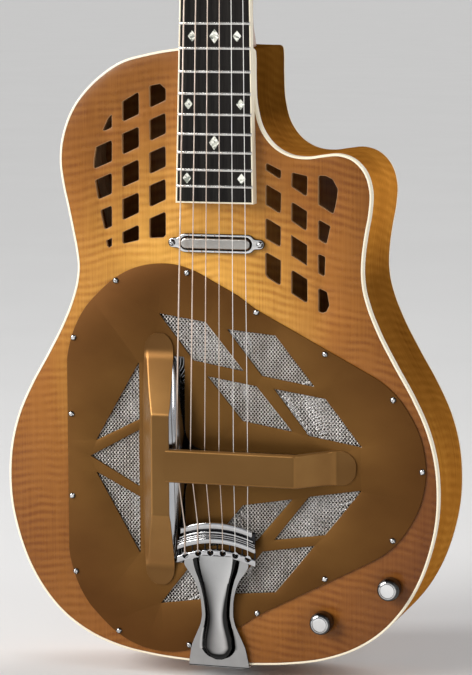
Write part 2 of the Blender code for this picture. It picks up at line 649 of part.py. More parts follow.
def build_neck():
    rings = []
    for z, width, depth, pinch in (
        (0.5, 57.6, 81.5, 0.5), (5.0, 57.5, 78.0, 0.5), (10.0, 57.3, 66.0, 0.42),
        (14.0, 57.2, 50.0, 0.32), (19.0, 57.0, 34.0, 0.2), (28.0, 56.7, 22.0, 0.1),
        (40.0, 56.3, 19.0, 0.05), (60.0, 55.6, 17.0, 0.0),
        (160.0, 51.9, 15.5, 0.0), (NUT_Z + 8.5, 46.2, 14.5, 0.0),
    ):
        ring = []
        for i in range(13):
            angle = math.pi * i / 12
            across = width / 2 * math.cos(angle)
            drop = depth * math.sin(angle) ** 0.8
            across *= 1 - pinch * drop / depth
            ring.append(neck_point(across, BOARD_THICK + GAP + drop, z))
        rings.append(ring)
    neck = add("neck", loft(rings), "mahogany")
    outline = [
        (24.5, 0.0), (25.5, 4.0), (34.0, 15.0), (35.0, 22.0), (35.0, 152.0), (33.0, 166.0),
        (26.0, 177.0), (13.0, 183.0), (0.0, 185.0),
    ]
    outline += [(-x, t) for x, t in reversed(outline[:-1])]
    slots = [
        [(s * SLOT_IN, SLOT_LOW + 5), (s * (SLOT_IN + 5), SLOT_LOW), (s * (SLOT_OUT - 5), SLOT_LOW),
         (s * SLOT_OUT, SLOT_LOW + 5), (s * SLOT_OUT, SLOT_HIGH - 5), (s * (SLOT_OUT - 5), SLOT_HIGH),
         (s * (SLOT_IN + 5), SLOT_HIGH), (s * SLOT_IN, SLOT_HIGH - 5)]
        for s in (1, -1)
    ]
    add("headstock_veneer", slab([outline] + slots, 0.0, VENEER, head_point), "ebony")
    wood = [(x, max(t, 2.0)) for x, t in outline]
    head = slab([wood] + slots, VENEER + GAP, HEAD_THICK, head_point)
    boolean(neck, helper("head_wood", head), "UNION")
    bores = joined(
        [
            rod(head_point(-50.0, t, ROLLER_M), head_point(50.0, t, ROLLER_M), 3.6, 12)
            for t in ROLLER_T
        ]
    )
    boolean(neck, helper("cut_rollers", bores), "DIFFERENCE")

    def neck_slab(u, v, w):
        return neck_point(u, w, v)

    channel = box((-3.2, -4.0, 0.0), (3.2, 308.0, 15.0), neck_slab)
    boolean(neck, helper("cut_channel", channel), "DIFFERENCE")
    add("truss_rod", box((-2.9, 2.0, 7.1), (2.9, 306.0, 14.6), neck_slab), "steel")

    z_top = NUT_Z - GAP
    inner_end = BOARD_END_Z + BOARD_BINDING + GAP
    rings = []
    for z in (inner_end, 0.0, 2.0, z_top):
        half = board_half(z) - BOARD_BINDING - GAP
        deep = board_bottom(z)
        rings.append(
            [neck_point(-half, 0, z), neck_point(half, 0, z),
             neck_point(half, deep, z), neck_point(-half, deep, z)]
        )
    add("fretboard", loft(rings), "ebony")
    strip = []
    for side, zs in ((-1, (z_top, 2.0, 0.0)), (1, (0.0, 2.0, z_top))):
        corner = (BOARD_END_Z, BOARD_END_Z + BOARD_BINDING)
        for z in zs:
            out_x = side * board_half(z)
            in_x = side * (board_half(z) - BOARD_BINDING)
            deep = board_bottom(z)
            strip.append(
                [neck_point(out_x, 0, z), neck_point(in_x, 0, z),
                 neck_point(in_x, deep, z), neck_point(out_x, deep, z)]
            )
        out_x = side * board_half(corner[0])
        in_x = side * (board_half(corner[1]) - BOARD_BINDING)
        deep = [board_bottom(z) for z in corner]
        turn = [neck_point(out_x, 0, corner[0]), neck_point(in_x, 0, corner[1]),
                neck_point(in_x, deep[1], corner[1]), neck_point(out_x, deep[0], corner[0])]
        strip.insert(len(strip) if side < 0 else 4, turn)
    add("fretboard_binding", loft(strip), "cream")
    half = board_half(NUT_Z)
    nut = box((-half, NUT_Z, -0.5), (half, NUT_Z + NUT_LENGTH, BOARD_THICK), neck_slab)
    add("nut", nut, "cream")
    button = turned(
        [(0, 0), (6.0, 0), (4.0, 2.0), (3.6, 6.0), (7.0, 9.0), (7.0, 11.0), (0, 11.0)],
        (0.0, DEPTH + GAP, -22.0), (0, 1, 0), 16)
    add("strap_button", button, "chrome")


def build_tuners():
    def side_frame(u, v, w):
        return head_point(w, v, u)

    for side, label in ((-1, "bass"), (1, "treble")):
        edge = [(0.6, 40.0), (14.2, 40.0), (14.2, 140.0), (0.6, 140.0)]
        bores = [circle((ROLLER_M, t), 3.6, 12) for t in ROLLER_T]
        low, high = sorted((side * 35.3, side * 36.5))
        plate = slab([edge] + bores, low, high, side_frame)
        obj = add(f"tuner_plate_{label}", plate, "nickel")
        near, far = sorted((side * 36.2, side * 41.6))
        lugs = []
        holes = []
        for t in ROLLER_T:
            at = t + WORM_STEP
            for deep in ((0.7, 3.0), (11.0, 14.1)):
                lugs.append(box((near, at - 2.8, deep[0]), (far, at + 2.8, deep[1]), head_point))
            start = head_point(side * WORM_X, at, -6.0)
            end = head_point(side * WORM_X, at, 20.0)
            holes.append(rod(start, end, 1.75, 10))
        boolean(obj, helper(f"lugs_{label}", joined(lugs)), "UNION")
        boolean(obj, helper(f"cut_lugs_{label}", joined(holes)), "DIFFERENCE")
    for index, row in enumerate(STRINGS):
        side = -1 if row[0] < 0 else 1
        number = 6 - index
        t = ROLLER_T[row[5]]
        base = head_point(0.0, t, ROLLER_M)
        roller = turned(
            [(0, 3.0), (ROLLER_R, 3.0), (ROLLER_R, 36.9), (GEAR_R, GEAR_X[0]),
             (GEAR_R, GEAR_X[1]), (2.0, GEAR_X[1]), (2.0, 41.6), (0, 41.6)],
            base, (side, 0, 0), 12)
        add(f"roller_{number}", roller, "nickel", base)
        at = t + WORM_STEP
        start = head_point(side * WORM_X, at, 0.0)
        key = turned(
            [(0, -1.2), (1.5, -1.2), (1.5, 3.3), (WORM_R, 3.6), (WORM_R, 10.4), (1.5, 10.7),
             (1.5, 22.0), (2.4, 23.0), (2.4, 26.0), (0, 26.0)],
            start, HEAD_IN, 8)
        obj = add(f"tuner_key_{number}", key, "nickel", start)
        rings = []
        for m, across, thick in (
            (24.0, 3.0, 2.4), (26.5, 7.0, 3.2), (32.0, 8.6, 3.6), (37.0, 7.4, 3.2), (40.0, 3.4, 2.0),
        ):
            rings.append(
                [
                    head_point(side * WORM_X + thick * math.cos(a), at + across * math.sin(a), m)
                    for a in (i * math.pi / 5 for i in range(10))
                ]
            )
        boolean(obj, helper(f"button_{number}", loft(rings)), "UNION")


def build_strings():
    names = ("string_6", "string_5", "string_4", "string_3", "string_2", "string_1")
    for name, (nut_x, saddle_x, tail_x, radius, roller_x, index) in zip(names, STRINGS):
        lift = radius + 0.25
        tail_hole = -392.4 - 0.0052 * tail_x**2
        comb_edge = -368.5 - 0.0065 * tail_x**2 + 0.6
        t = ROLLER_T[index]
        nut_y = STRING_12 + STRING_SLOPE * NUT_Z
        saddle_y = STRING_12 + STRING_SLOPE * SADDLE_Z
        end = head_point(roller_x, t, ROLLER_M - ROLLER_R - lift)
        path = (
            (tail_x, -10.0 - lift, tail_hole + 1.6),
            (tail_x, -10.0 - lift, comb_edge),
            (saddle_x, saddle_y, SADDLE_Z),
            (nut_x, nut_y, NUT_Z + 0.5),
            (nut_x, nut_y + 0.1, NUT_Z + NUT_LENGTH),
            tuple(end),
        )
        wound = radius > 0.3
        add(name, swept(path, radius), "bronze_string" if wound else "plain_string")


def build_electrics():
    x, z = PICKUP
    ear = [
        (25.0, 7.0), (29.5, 5.4), (32.0, 3.4), (35.0, 3.6), (37.6, 2.6), (38.8, 0.0),
    ]
    quarter = ear + [(u, -v) for u, v in reversed(ear[:-1])]
    ring = quarter + [(-u, -v) for u, v in quarter]
    ring = [(x + u, z + v) for u, v in ring]
    loops = [ring, stadium((x, z), 57.0, 9.6, 7)]
    loops += [circle((x + s * 35.6, z), 1.5, 8) for s in (1, -1)]
    add("pickup_ring", slab(loops, -3.2, -GAP), "chrome")
    add("pickup_cover", slab([stadium((x, z), 56.2, 8.8, 7)], -5.8, -2.0), "nickel")
    add("pickup_coil", slab([stadium((x, z), 55.0, 8.0, 7)], -1.7, 14.0), "ebony")
    for side, label in ((-1, "bass"), (1, "treble")):
        screw = turned(
            [(0, -12.0), (1.2, -12.0), (1.2, 3.5), (2.6, 3.5), (2.3, 4.6), (1.2, 5.2), (0, 5.4)],
            (x + side * 35.6, 0.0, z), (0, -1, 0), 10)
        add(f"pickup_screw_{label}", screw, "chrome")
    for (kx, kz), label in zip(KNOBS, ("tone", "volume")):
        base = (kx, 0.0, kz)
        knob = turned(
            [(0, 1.8), (7.9, 0.8), (8.9, 0.8), (9.0, 1.8), (8.7, 8.6), (7.4, 11.4), (6.6, 12.2),
             (0, 12.6)],
            base, (0, -1, 0), 24)
        add(f"knob_{label}", knob, "chrome", base)
        shaft = turned(
            [(0, -4.2), (3.0, -4.2), (3.0, 1.1), (0, 1.3)], base, (0, -1, 0), 12)
        add(f"pot_shaft_{label}", shaft, "steel", base)
        housing = turned(
            [(0, -15.0), (8.0, -15.0), (8.0, -4.6), (0, -4.6)], base, (0, -1, 0), 16)
        add(f"pot_{label}", housing, "nickel")


def main():
    for obj in list(bpy.data.objects):
        bpy.data.objects.remove(obj, do_unlink=True)
    build_box()
    build_resonators()
    build_cover()
    build_tail()
    build_neck()
    build_tuners()
    build_strings()
    build_electrics()


main()
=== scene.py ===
"""Looks of a single-cutaway resonator guitar with three cones.

Shapes are laid out in body millimetres: X across, Y back from the front face of the top
plate, Z up from the twelfth fret. placed() turns them into the frame's metres. Flat pieces
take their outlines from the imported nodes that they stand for.
"""
import math
from collections import namedtuple

import bmesh
import bpy
import numpy as np
from mathutils import Matrix, Vector


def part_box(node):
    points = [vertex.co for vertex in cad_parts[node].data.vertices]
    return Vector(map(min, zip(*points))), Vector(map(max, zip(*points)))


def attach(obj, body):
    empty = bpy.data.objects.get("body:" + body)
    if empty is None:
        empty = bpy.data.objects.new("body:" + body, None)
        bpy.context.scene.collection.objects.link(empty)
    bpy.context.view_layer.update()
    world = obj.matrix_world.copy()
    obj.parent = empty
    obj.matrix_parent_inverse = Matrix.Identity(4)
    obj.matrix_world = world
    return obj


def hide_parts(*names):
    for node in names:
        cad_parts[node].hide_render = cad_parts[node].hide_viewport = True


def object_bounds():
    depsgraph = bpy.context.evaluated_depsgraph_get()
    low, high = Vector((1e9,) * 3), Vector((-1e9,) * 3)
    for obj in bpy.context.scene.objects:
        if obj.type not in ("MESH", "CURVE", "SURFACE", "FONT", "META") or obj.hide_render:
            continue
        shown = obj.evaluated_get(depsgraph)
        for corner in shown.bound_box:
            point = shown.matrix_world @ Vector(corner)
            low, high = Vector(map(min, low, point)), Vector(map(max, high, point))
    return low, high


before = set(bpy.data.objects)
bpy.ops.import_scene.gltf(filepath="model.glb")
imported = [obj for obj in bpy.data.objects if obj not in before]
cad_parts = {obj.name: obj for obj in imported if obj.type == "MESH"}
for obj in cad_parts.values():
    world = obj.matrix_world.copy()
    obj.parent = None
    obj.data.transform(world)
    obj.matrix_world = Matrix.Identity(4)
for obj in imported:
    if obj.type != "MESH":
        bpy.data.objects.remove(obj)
cad_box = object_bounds()

MM = 0.001
HANGER_Z = -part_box("body_rim")[1].z / MM
SCALE_LENGTH = 635.0
NUT_Z = SCALE_LENGTH / 2

# neck plane and headstock plane, as in the design
NECK_SLOPE = 0.0234
BOARD_TOP = -7.2
BOARD_THICK = 6.5
BOARD_BINDING = 1.35
BOARD_WIDTH_12 = 58.07
BOARD_TAPER = 0.0374
BOARD_END_Z = -118.7
SEAM = 0.02
NUT_LENGTH = 5.0
BOARD_GAP = 0.3
HEAD_TILT = math.radians(14)
HEAD_THICK = 15.0
ROLLER_T = (50.0, 86.0, 122.0)
ROLLER_M = 6.0
ROLLER_R = 3.1
GEAR_R = 6.0
GEAR_TEETH = 16
WORM_X = 39.1
WORM_STEP = 8.65

# strings: x at the nut, saddle, tail and roller, and the roller's row from the nut
String = namedtuple("String", "number nut saddle tail radius roller row")
STRINGS = tuple(String(*values) for values in (
    (6, -18.9, -29.1, -25.2, 0.67, -19.5, 0),
    (5, -11.4, -17.4, -14.6, 0.53, -14.5, 1),
    (4, -3.8, -5.8, -4.6, 0.42, -9.8, 2),
    (3, 3.8, 5.9, 5.6, 0.33, 9.8, 2),
    (2, 11.4, 17.6, 15.8, 0.22, 14.5, 1),
    (1, 18.9, 29.1, 26.0, 0.2, 19.5, 0),
))
STRING_12 = -10.3
STRING_SLOPE = 0.0289
SADDLE_Z = -320.0

# body edges, and the point spacing of smoothed outlines
LONG_EDGE = 45.0
OUTLINE_STEP = 2.4
SIDE_THICK = 2.6
SIDE_LAP = 0.25
BINDING_WIDTH = 1.8
BINDING_ROUND = 0.9
CONTROLS_BELOW_Z = -400.0
BODY_END_Z = -484.0

FORWARD = Vector((0, -1, 0))

# fittings: the comb's face, the inner end of the bridge's arm, the end pin's depth
COMB_FRONT = -10.0
BRIDGE_MEET_X = -27.5
PIN_Y = 44.0


# ---------------------------------------------------------------- places and outlines
def placed(point):
    return Vector((point[0], point[1], point[2] - HANGER_Z)) * MM


def in_body_mm(point):
    return Vector((point[0], point[1], point[2])) / MM + Vector((0.0, 0.0, HANGER_Z))


def node_box(node):
    """Lowest and highest corner of a node in body millimetres."""
    return [in_body_mm(corner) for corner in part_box(node)]


def middle(node):
    low, high = node_box(node)
    return (low + high) / 2


DEPTH = node_box("back_plate")[1].y
MID_Z = middle("cone_treble").z
CONE_NODES = ("cone_bass_upper", "cone_bass_lower", "cone_treble")


def in_body(u, v, w):
    """Slab frame of the body: u across, v up, w back."""
    return Vector((u, w, v))


def neck_point(x, depth, z):
    return Vector((x, BOARD_TOP + NECK_SLOPE * z + depth, z))


HEAD_BASE = neck_point(0.0, 1.6, NUT_Z + NUT_LENGTH + 0.7)
HEAD_UP = Vector((0.0, math.sin(HEAD_TILT), math.cos(HEAD_TILT)))
HEAD_IN = Vector((0.0, math.cos(HEAD_TILT), -math.sin(HEAD_TILT)))


def head_point(x, t, m):
    return HEAD_BASE + Vector((x, 0.0, 0.0)) + HEAD_UP * t + HEAD_IN * m


def neck_slab(u, v, w):
    return neck_point(u, w, v)


def board_half(z):
    return (BOARD_WIDTH_12 - BOARD_TAPER * z) / 2


def outlines(node, facing, flatten):
    """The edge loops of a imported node's flat face, the longest first."""
    bm = bmesh.new()
    bm.from_mesh(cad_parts[node].data)
    bmesh.ops.remove_doubles(bm, verts=bm.verts, dist=0.002 * MM)
    bm.normal_update()
    for face in bm.faces:
        face.tag = face.normal.dot(facing) > 0.999
    after = {}
    for face in bm.faces:
        for loop in face.loops:
            if face.tag and sum(other.tag for other in loop.edge.link_faces) == 1:
                after[loop.vert] = loop.link_loop_next.vert
    found = []
    while after:
        first, here = after.popitem()
        loop = [first]
        while here is not first:
            loop.append(here)
            here = after.pop(here)
        found.append([flatten(in_body_mm(vert.co)) for vert in loop])
    bm.free()
    return sorted((tidy(loop) for loop in found), key=length_of, reverse=True)


def tidy(loop):
    """The loop without points that lie on a straight line between their neighbours."""
    kept = []
    for i, point in enumerate(loop):
        before = point - loop[i - 1]
        after = loop[(i + 1) % len(loop)] - point
        if before.angle(after, 0.0) > math.radians(0.4):
            kept.append(point)
    return kept


def length_of(loop):
    return sum((loop[i] - loop[i - 1]).length for i in range(len(loop)))


def front_view(point):
    return Vector((point.x, point.z))


def head_view(point):
    return Vector((point.x, (point - HEAD_BASE).dot(HEAD_UP)))


def rounded(loop, radius, least=12.0, steps=4):
    """The loop with every corner sharper than least degrees rounded off."""
    result = []
    for i, point in enumerate(loop):
        before = loop[i - 1] - point
        after = loop[(i + 1) % len(loop)] - point
        turn = math.pi - before.angle(after)
        if turn < math.radians(least):
            result.append(point)
            continue
        reach = min(radius * math.tan(turn / 2), 0.45 * before.length, 0.45 * after.length)
        result += bend(point, before, after, reach, steps)
    return result


def bend(corner, before, after, reach, steps):
    """A curve that cuts a corner, from reach away on one side to reach away on the other."""
    start = corner + before.normalized() * reach
    end = corner + after.normalized() * reach
    shares = [k / steps for k in range(steps + 1)]
    return [start * (1 - s) ** 2 + corner * 2 * s * (1 - s) + end * s**2 for s in shares]


def hermite(start, end, leave, arrive, s):
    """A point of the cubic from start to end that has the given slopes there."""
    return (
        start * (2 * s**3 - 3 * s**2 + 1) + leave * (s**3 - 2 * s**2 + s)
        + end * (3 * s**2 - 2 * s**3) + arrive * (s**3 - s**2)
    )


def curve(points, step):
    """Points about step apart on a smooth closed curve through the given ones."""
    count = len(points)
    tangents = []
    for i, point in enumerate(points):
        before, after = point - points[i - 1], points[(i + 1) % count] - point
        a, b = before.length, after.length
        tangent = before / a * b + after / b * a
        if max(a, b) > LONG_EDGE and max(a, b) > 2 * min(a, b):
            tangent = before if a > b else after
        tangents.append(tangent.normalized())
    result = []
    for i, point in enumerate(points):
        j = (i + 1) % count
        span = (points[j] - point).length
        parts = max(1, round(span / step))
        leave, arrive = tangents[i] * span, tangents[j] * span
        result += [hermite(point, points[j], leave, arrive, k / parts) for k in range(parts)]
    return result


def inset(loop, distance):
    """The closed loop moved inwards by a distance, with mitred corners."""
    if not distance:
        return list(loop)
    area = sum(loop[i - 1].cross(loop[i]) for i in range(len(loop)))
    turn = 1.0 if area > 0 else -1.0
    result = []
    for i, here in enumerate(loop):
        before = (here - loop[i - 1]).normalized()
        after = (loop[(i + 1) % len(loop)] - here).normalized()
        first = Vector((-before.y, before.x)) * turn
        second = Vector((-after.y, after.x)) * turn
        mitre = (first + second).normalized()
        result.append(here + mitre * (distance / max(mitre.dot(first), 0.5)))
    return result


def flat_points(*pairs):
    return [Vector(pair) for pair in pairs]


def arc(steps, turn=math.pi / 2, last=True):
    """Angles from 0 to turn in equal steps."""
    return [turn * k / steps for k in range(steps + 1 if last else steps)]


def circle(centre, radius, count=32):
    centre = Vector(centre)
    angles = arc(count, 2 * math.pi, last=False)
    return [centre + Vector((math.cos(a), math.sin(a))) * radius for a in angles]


def stadium(centre, length, height, count=13):
    """A slot with round ends; count points on each end."""
    radius = height / 2
    loop = []
    for side, start in ((1, -math.pi / 2), (-1, math.pi / 2)):
        middle_x = centre[0] + side * (length / 2 - radius)
        for angle in arc(count - 1, math.pi):
            turn = start + angle
            x = middle_x + radius * math.cos(turn)
            loop.append(Vector((x, centre[1] + radius * math.sin(turn))))
    return loop


def smooth_rows(rows, step):
    """Rows of numbers resampled on a smooth curve, about step apart in the first number."""
    rows = sorted(rows)
    at = np.array([row[0] for row in rows], float)
    values = np.array([row[1:] for row in rows], float)
    slopes = np.zeros_like(values)
    rise = (values[1:] - values[:-1]) / (at[1:] - at[:-1])[:, None]
    for k in range(values.shape[1]):
        for i in range(1, len(at) - 1):
            a, b = rise[i - 1, k], rise[i, k]
            slopes[i, k] = 0.0 if a * b <= 0 else 2 * a * b / (a + b)
        slopes[0, k], slopes[-1, k] = rise[0, k], rise[-1, k]
    result = []
    for i in range(len(at) - 1):
        span = at[i + 1] - at[i]
        parts = max(1, round(span / step))
        leave, arrive = slopes[i] * span, slopes[i + 1] * span
        for n in range(parts):
            row = hermite(values[i], values[i + 1], leave, arrive, n / parts)
            result.append([at[i] + span * (n / parts), *row.tolist()])
    return result + [list(rows[-1])]


# ---------------------------------------------------------------- meshes
def edge_profile(size, steps):
    """Steps round a quarter circle as (distance in, distance down)."""
    if not size:
        return [(0.0, 0.0)]
    return [(size * (1 - math.sin(a)), size * (1 - math.cos(a))) for a in arc(steps)]


def plate(loops, low, high, slab=in_body, edge=0.4, back=0.0, steps=2):
    """A flat piece whose loops[0] is its edge and the others its openings. Its front edges
    are rounded by edge and its back edges by back; openings' walls take material slot 1."""
    front = [(d, low + h) for d, h in edge_profile(edge, steps)]
    rear = [(d, high - h) for d, h in reversed(edge_profile(back, steps))]
    bm = bmesh.new()
    rims = ([], [])
    for number, loop in enumerate(loops):
        side = -1.0 if number else 1.0
        rows = [
            [bm.verts.new(slab(point.x, point.y, w)) for point in inset(loop, side * d)]
            for d, w in front + rear
        ]
        skin(bm, rows, 1 if number else 0)
        for rim, row in zip(rims, (rows[0], rows[-1])):
            rim += [bm.edges.get((row[i - 1], row[i])) for i in range(len(row))]
    for rim in rims:
        bmesh.ops.triangle_fill(bm, use_beauty=True, use_dissolve=False, edges=rim)
    return bm


def skin(bm, rows, slot=0, closed=False):
    """Faces between rows of vertices, each row a closed ring."""
    pairs = list(zip(rows, rows[1:])) + ([(rows[-1], rows[0])] if closed else [])
    for low, high in pairs:
        for i in range(len(low)):
            face = bm.faces.new((low[i - 1], low[i], high[i], high[i - 1]))
            face.material_index = slot


def hoop(loop, section):
    """A ring along a closed loop. section lists its (distance in, depth) corners, and the
    run attribute holds the distance along the loop and across the section."""
    bm = bmesh.new()
    run = bm.verts.layers.float_vector.new("run")
    along = [0.0]
    for i in range(1, len(loop)):
        along.append(along[-1] + (loop[i] - loop[i - 1]).length)
    across = 0.0
    rows = []
    for number, (distance, depth) in enumerate(section):
        if number:
            last = section[number - 1]
            across += math.hypot(distance - last[0], depth - last[1])
        row = []
        for point, reach in zip(inset(loop, distance), along):
            vert = bm.verts.new(in_body(point.x, point.y, depth))
            vert[run] = Vector((across, 0.0, reach))
            row.append(vert)
        rows.append(row)
    skin(bm, rows, closed=True)
    return bm


def loft(rings):
    """Skin a list of rings with equal point counts, with flat ends."""
    bm = bmesh.new()
    rows = [[bm.verts.new(point) for point in ring] for ring in rings]
    skin(bm, rows)
    bm.faces.new(rows[0])
    bm.faces.new(rows[-1])
    return bm


def turned(profile, base, along, count=40):
    """A (radius, height) profile turned about the line base + height * along."""
    along = Vector(along).normalized()
    across = along.orthogonal().normalized()
    other = along.cross(across)
    angles = arc(count, 2 * math.pi, last=False)
    spokes = [across * math.cos(a) + other * math.sin(a) for a in angles]
    bm = bmesh.new()
    rows = []
    for radius, height in profile:
        centre = Vector(base) + along * height
        ring = spokes if radius > 1e-6 else [Vector()]
        rows.append([bm.verts.new(centre + spoke * radius) for spoke in ring])
    if len(rows[0]) > 1 or len(rows[-1]) > 1:
        rows.append(rows[0])
    for low, high in zip(rows, rows[1:]):
        for i in range(count):
            if len(low) == 1:
                bm.faces.new((low[0], high[i], high[i - 1]))
            elif len(high) == 1:
                bm.faces.new((low[i - 1], low[i], high[0]))
            else:
                bm.faces.new((low[i - 1], low[i], high[i], high[i - 1]))
    return bm


def soft_profile(points, radius, steps=4):
    """An open profile with its inner corners rounded off."""
    points = [Vector(point) for point in points]
    result = [points[0]]
    for before, here, after in zip(points, points[1:], points[2:]):
        first, second = before - here, after - here
        reach = min(radius, 0.45 * first.length, 0.45 * second.length)
        result += bend(here, first, second, reach, steps)
    return result + [points[-1]]


def merged(*parts):
    """One bmesh of several shells."""
    whole = bmesh.new()
    for part in parts:
        mesh = bpy.data.meshes.new("shell")
        bmesh.ops.recalc_face_normals(part, faces=part.faces)
        part.to_mesh(mesh)
        part.free()
        whole.from_mesh(mesh)
        bpy.data.meshes.remove(mesh)
    return whole


def tube(path, radii, sides, side_on):
    """Vertices and faces of a round wire. radii is one radius or one for each point, and
    side_on a direction that the wire never runs along."""
    path = np.array(path, float)
    count = len(path)
    along = np.gradient(path, axis=0)
    along /= np.linalg.norm(along, axis=1)[:, None]
    across = np.cross(along, np.array(side_on, float))
    across /= np.linalg.norm(across, axis=1)[:, None]
    other = np.cross(along, across)
    angle = 2 * np.pi * np.arange(sides) / sides
    radii = np.broadcast_to(np.asarray(radii, float), (count,))
    ring = across[:, None] * np.cos(angle)[None, :, None]
    ring = ring + other[:, None] * np.sin(angle)[None, :, None]
    points = path[:, None] + ring * radii[:, None, None]
    start = np.arange(count - 1)[:, None] * sides
    k = np.arange(sides)[None, :]
    after = (k + 1) % sides
    faces = np.stack([start + k, start + after, start + sides + after, start + sides + k], -1)
    faces = faces.reshape(-1, 4).tolist()
    faces.append(list(range(sides))[::-1])
    faces.append(list(range((count - 1) * sides, count * sides)))
    return points.reshape(-1, 3), faces


def tubes(parts):
    """One mesh of several (points, faces) wires."""
    points, faces, base = [], [], 0
    for part_points, part_faces in parts:
        points.append(part_points)
        faces += [[index + base for index in face] for face in part_faces]
        base += len(part_points)
    points = (np.concatenate(points) - (0.0, 0.0, HANGER_Z)) * MM
    mesh = bpy.data.meshes.new("wires")
    mesh.from_pydata(points.tolist(), [], faces)
    return mesh


def in_frame(shape, name):
    """A mesh in the frame's metres from a bmesh in body millimetres."""
    bmesh.ops.recalc_face_normals(shape, faces=shape.faces)
    for vert in shape.verts:
        vert.co = placed(vert.co)
    mesh = bpy.data.meshes.new(name)
    shape.to_mesh(mesh)
    shape.free()
    return mesh


def show(name, shape, *materials, body="guitar", stands_for=(), slot=None, smooth=38.0):
    """A piece from a bmesh in body millimetres, or from a finished mesh."""
    mesh = in_frame(shape, name) if isinstance(shape, bmesh.types.BMesh) else shape
    mesh.name = name
    obj = bpy.data.objects.new(name, mesh)
    bpy.context.scene.collection.objects.link(obj)
    for material in materials:
        mesh.materials.append(material)
    mesh.shade_smooth()
    mesh.set_sharp_from_angle(angle=math.radians(smooth))
    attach(obj, body)
    if stands_for:
        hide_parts(*stands_for)
    return obj


def cut_away(obj, tool):
    """Cuts a bmesh in body millimetres out of a piece."""
    cutter = bpy.data.objects.new("cutter", in_frame(tool, "cutter"))
    bpy.context.scene.collection.objects.link(cutter)
    modifier = obj.modifiers.new("Cut", "BOOLEAN")
    modifier.operation = "DIFFERENCE"
    modifier.solver = "EXACT"
    modifier.use_self = True
    modifier.object = cutter
    graph = bpy.context.evaluated_depsgraph_get()
    result = bpy.data.meshes.new_from_object(obj.evaluated_get(graph))
    obj.modifiers.clear()
    obj.data = result
    bpy.data.objects.remove(cutter)
    result.set_sharp_from_angle(angle=math.radians(38))


# ---------------------------------------------------------------- materials
class Paint:
    """A Principled material and the nodes that drive it."""

    def __init__(self, name, sockets=()):
        self.material = bpy.data.materials.new(name)
        self.material.use_nodes = True
        self.tree = self.material.node_tree
        self.shader = self.tree.nodes["Principled BSDF"]
        self.fill(self.shader, dict(sockets))

    def fill(self, node, inputs):
        for key, value in inputs.items():
            if isinstance(value, bpy.types.NodeSocket):
                self.tree.links.new(value, node.inputs[key])
            else:
                node.inputs[key].default_value = value

    def node(self, kind, inputs=None, **settings):
        node = self.tree.nodes.new("ShaderNode" + kind)
        for key, value in settings.items():
            setattr(node, key, value)
        self.fill(node, inputs or {})
        return node

    def place(self):
        """The surface point in body millimetres."""
        point = self.node("TexCoord").outputs["Object"]
        shift = {"Vector": point, "Location": (0, 0, HANGER_Z), "Scale": (1 / MM,) * 3}
        return self.node("Mapping", shift).outputs[0]

    def run(self):
        """Distance across (x) and along (z) a hoop, in millimetres."""
        return self.node("Attribute", attribute_name="run").outputs["Vector"]

    def parts(self, vector):
        return self.node("SeparateXYZ", {0: vector}).outputs

    def stretched(self, vector, scale):
        made = self.node("VectorMath", {0: vector, 1: scale}, operation="MULTIPLY")
        return made.outputs[0]

    def math(self, operation, first, second=0.0, third=0.0):
        inputs = {0: first, 1: second, 2: third}
        return self.node("Math", inputs, operation=operation).outputs[0]

    def noise(self, vector, scale, detail=2.0, roughness=0.5):
        """Noise about 0.5 whose cells are 1 / scale millimetres, scale may differ by axis."""
        if not isinstance(scale, tuple):
            scale = (scale,) * 3
        inputs = {
            "Vector": self.stretched(vector, scale), "Scale": 1.0,
            "Detail": detail, "Roughness": roughness,
        }
        return self.node("TexNoise", inputs).outputs[0]

    def ramp(self, share, *stops):
        """Colours or greys by share; each stop is (place, grey or colour)."""
        node = self.node("ValToRGB", {0: share})
        band = node.color_ramp
        while len(band.elements) < len(stops):
            band.elements.new(0.5)
        for element, (at, colour) in zip(band.elements, stops):
            element.position = at
            element.color = (*colour, 1.0) if isinstance(colour, tuple) else (colour,) * 3 + (1.0,)
        return node.outputs[0]

    def blend(self, share, first, second, kind="MIX"):
        inputs = {0: share, 6: first, 7: second}
        return self.node("Mix", inputs, data_type="RGBA", blend_type=kind).outputs[2]

    def tinted(self, colour, shade):
        return self.blend(1.0, colour, shade, "MULTIPLY")

    def between(self, share, low, high, start=0.0, end=1.0):
        """A number from low to high as share goes from start to end."""
        inputs = {0: share, 1: start, 2: end, 3: low, 4: high}
        return self.node("MapRange", inputs).outputs[0]

    def stirred(self, tone, noise, amount):
        """The tone moved up and down by a noise that swings about a half."""
        return self.math("MULTIPLY_ADD", self.math("SUBTRACT", noise, 0.5), amount, tone)

    def distance(self, point, centre, reach):
        """Distance from a place on the front, in shares of the reach across and along."""
        inputs = {0: point, 1: (centre[0], 0.0, centre[1])}
        away = self.node("VectorMath", inputs, operation="SUBTRACT").outputs[0]
        away = self.stretched(away, (1 / reach[0], 0.0, 1 / reach[1]))
        return self.node("VectorMath", {0: away}, operation="LENGTH").outputs["Value"]

    def normal(self):
        """Parts of the surface normal; the second is 1 or -1 on faces square to the front."""
        return self.parts(self.node("TexCoord").outputs["Normal"])

    def finish(self, colour, roughness=None, height=None, depth=0.05, strength=1.0):
        """Colour, roughness and a bump of the given depth in millimetres."""
        self.fill(self.shader, {"Base Color": colour})
        if roughness is not None:
            self.fill(self.shader, {"Roughness": roughness})
        if height is not None:
            inputs = {"Strength": strength, "Distance": depth * MM, "Height": height}
            self.fill(self.shader, {"Normal": self.node("Bump", inputs).outputs[0]})
        return self.material


LACQUER = {"Coat Weight": 0.12, "Coat Roughness": 0.08, "Specular IOR Level": 0.2}


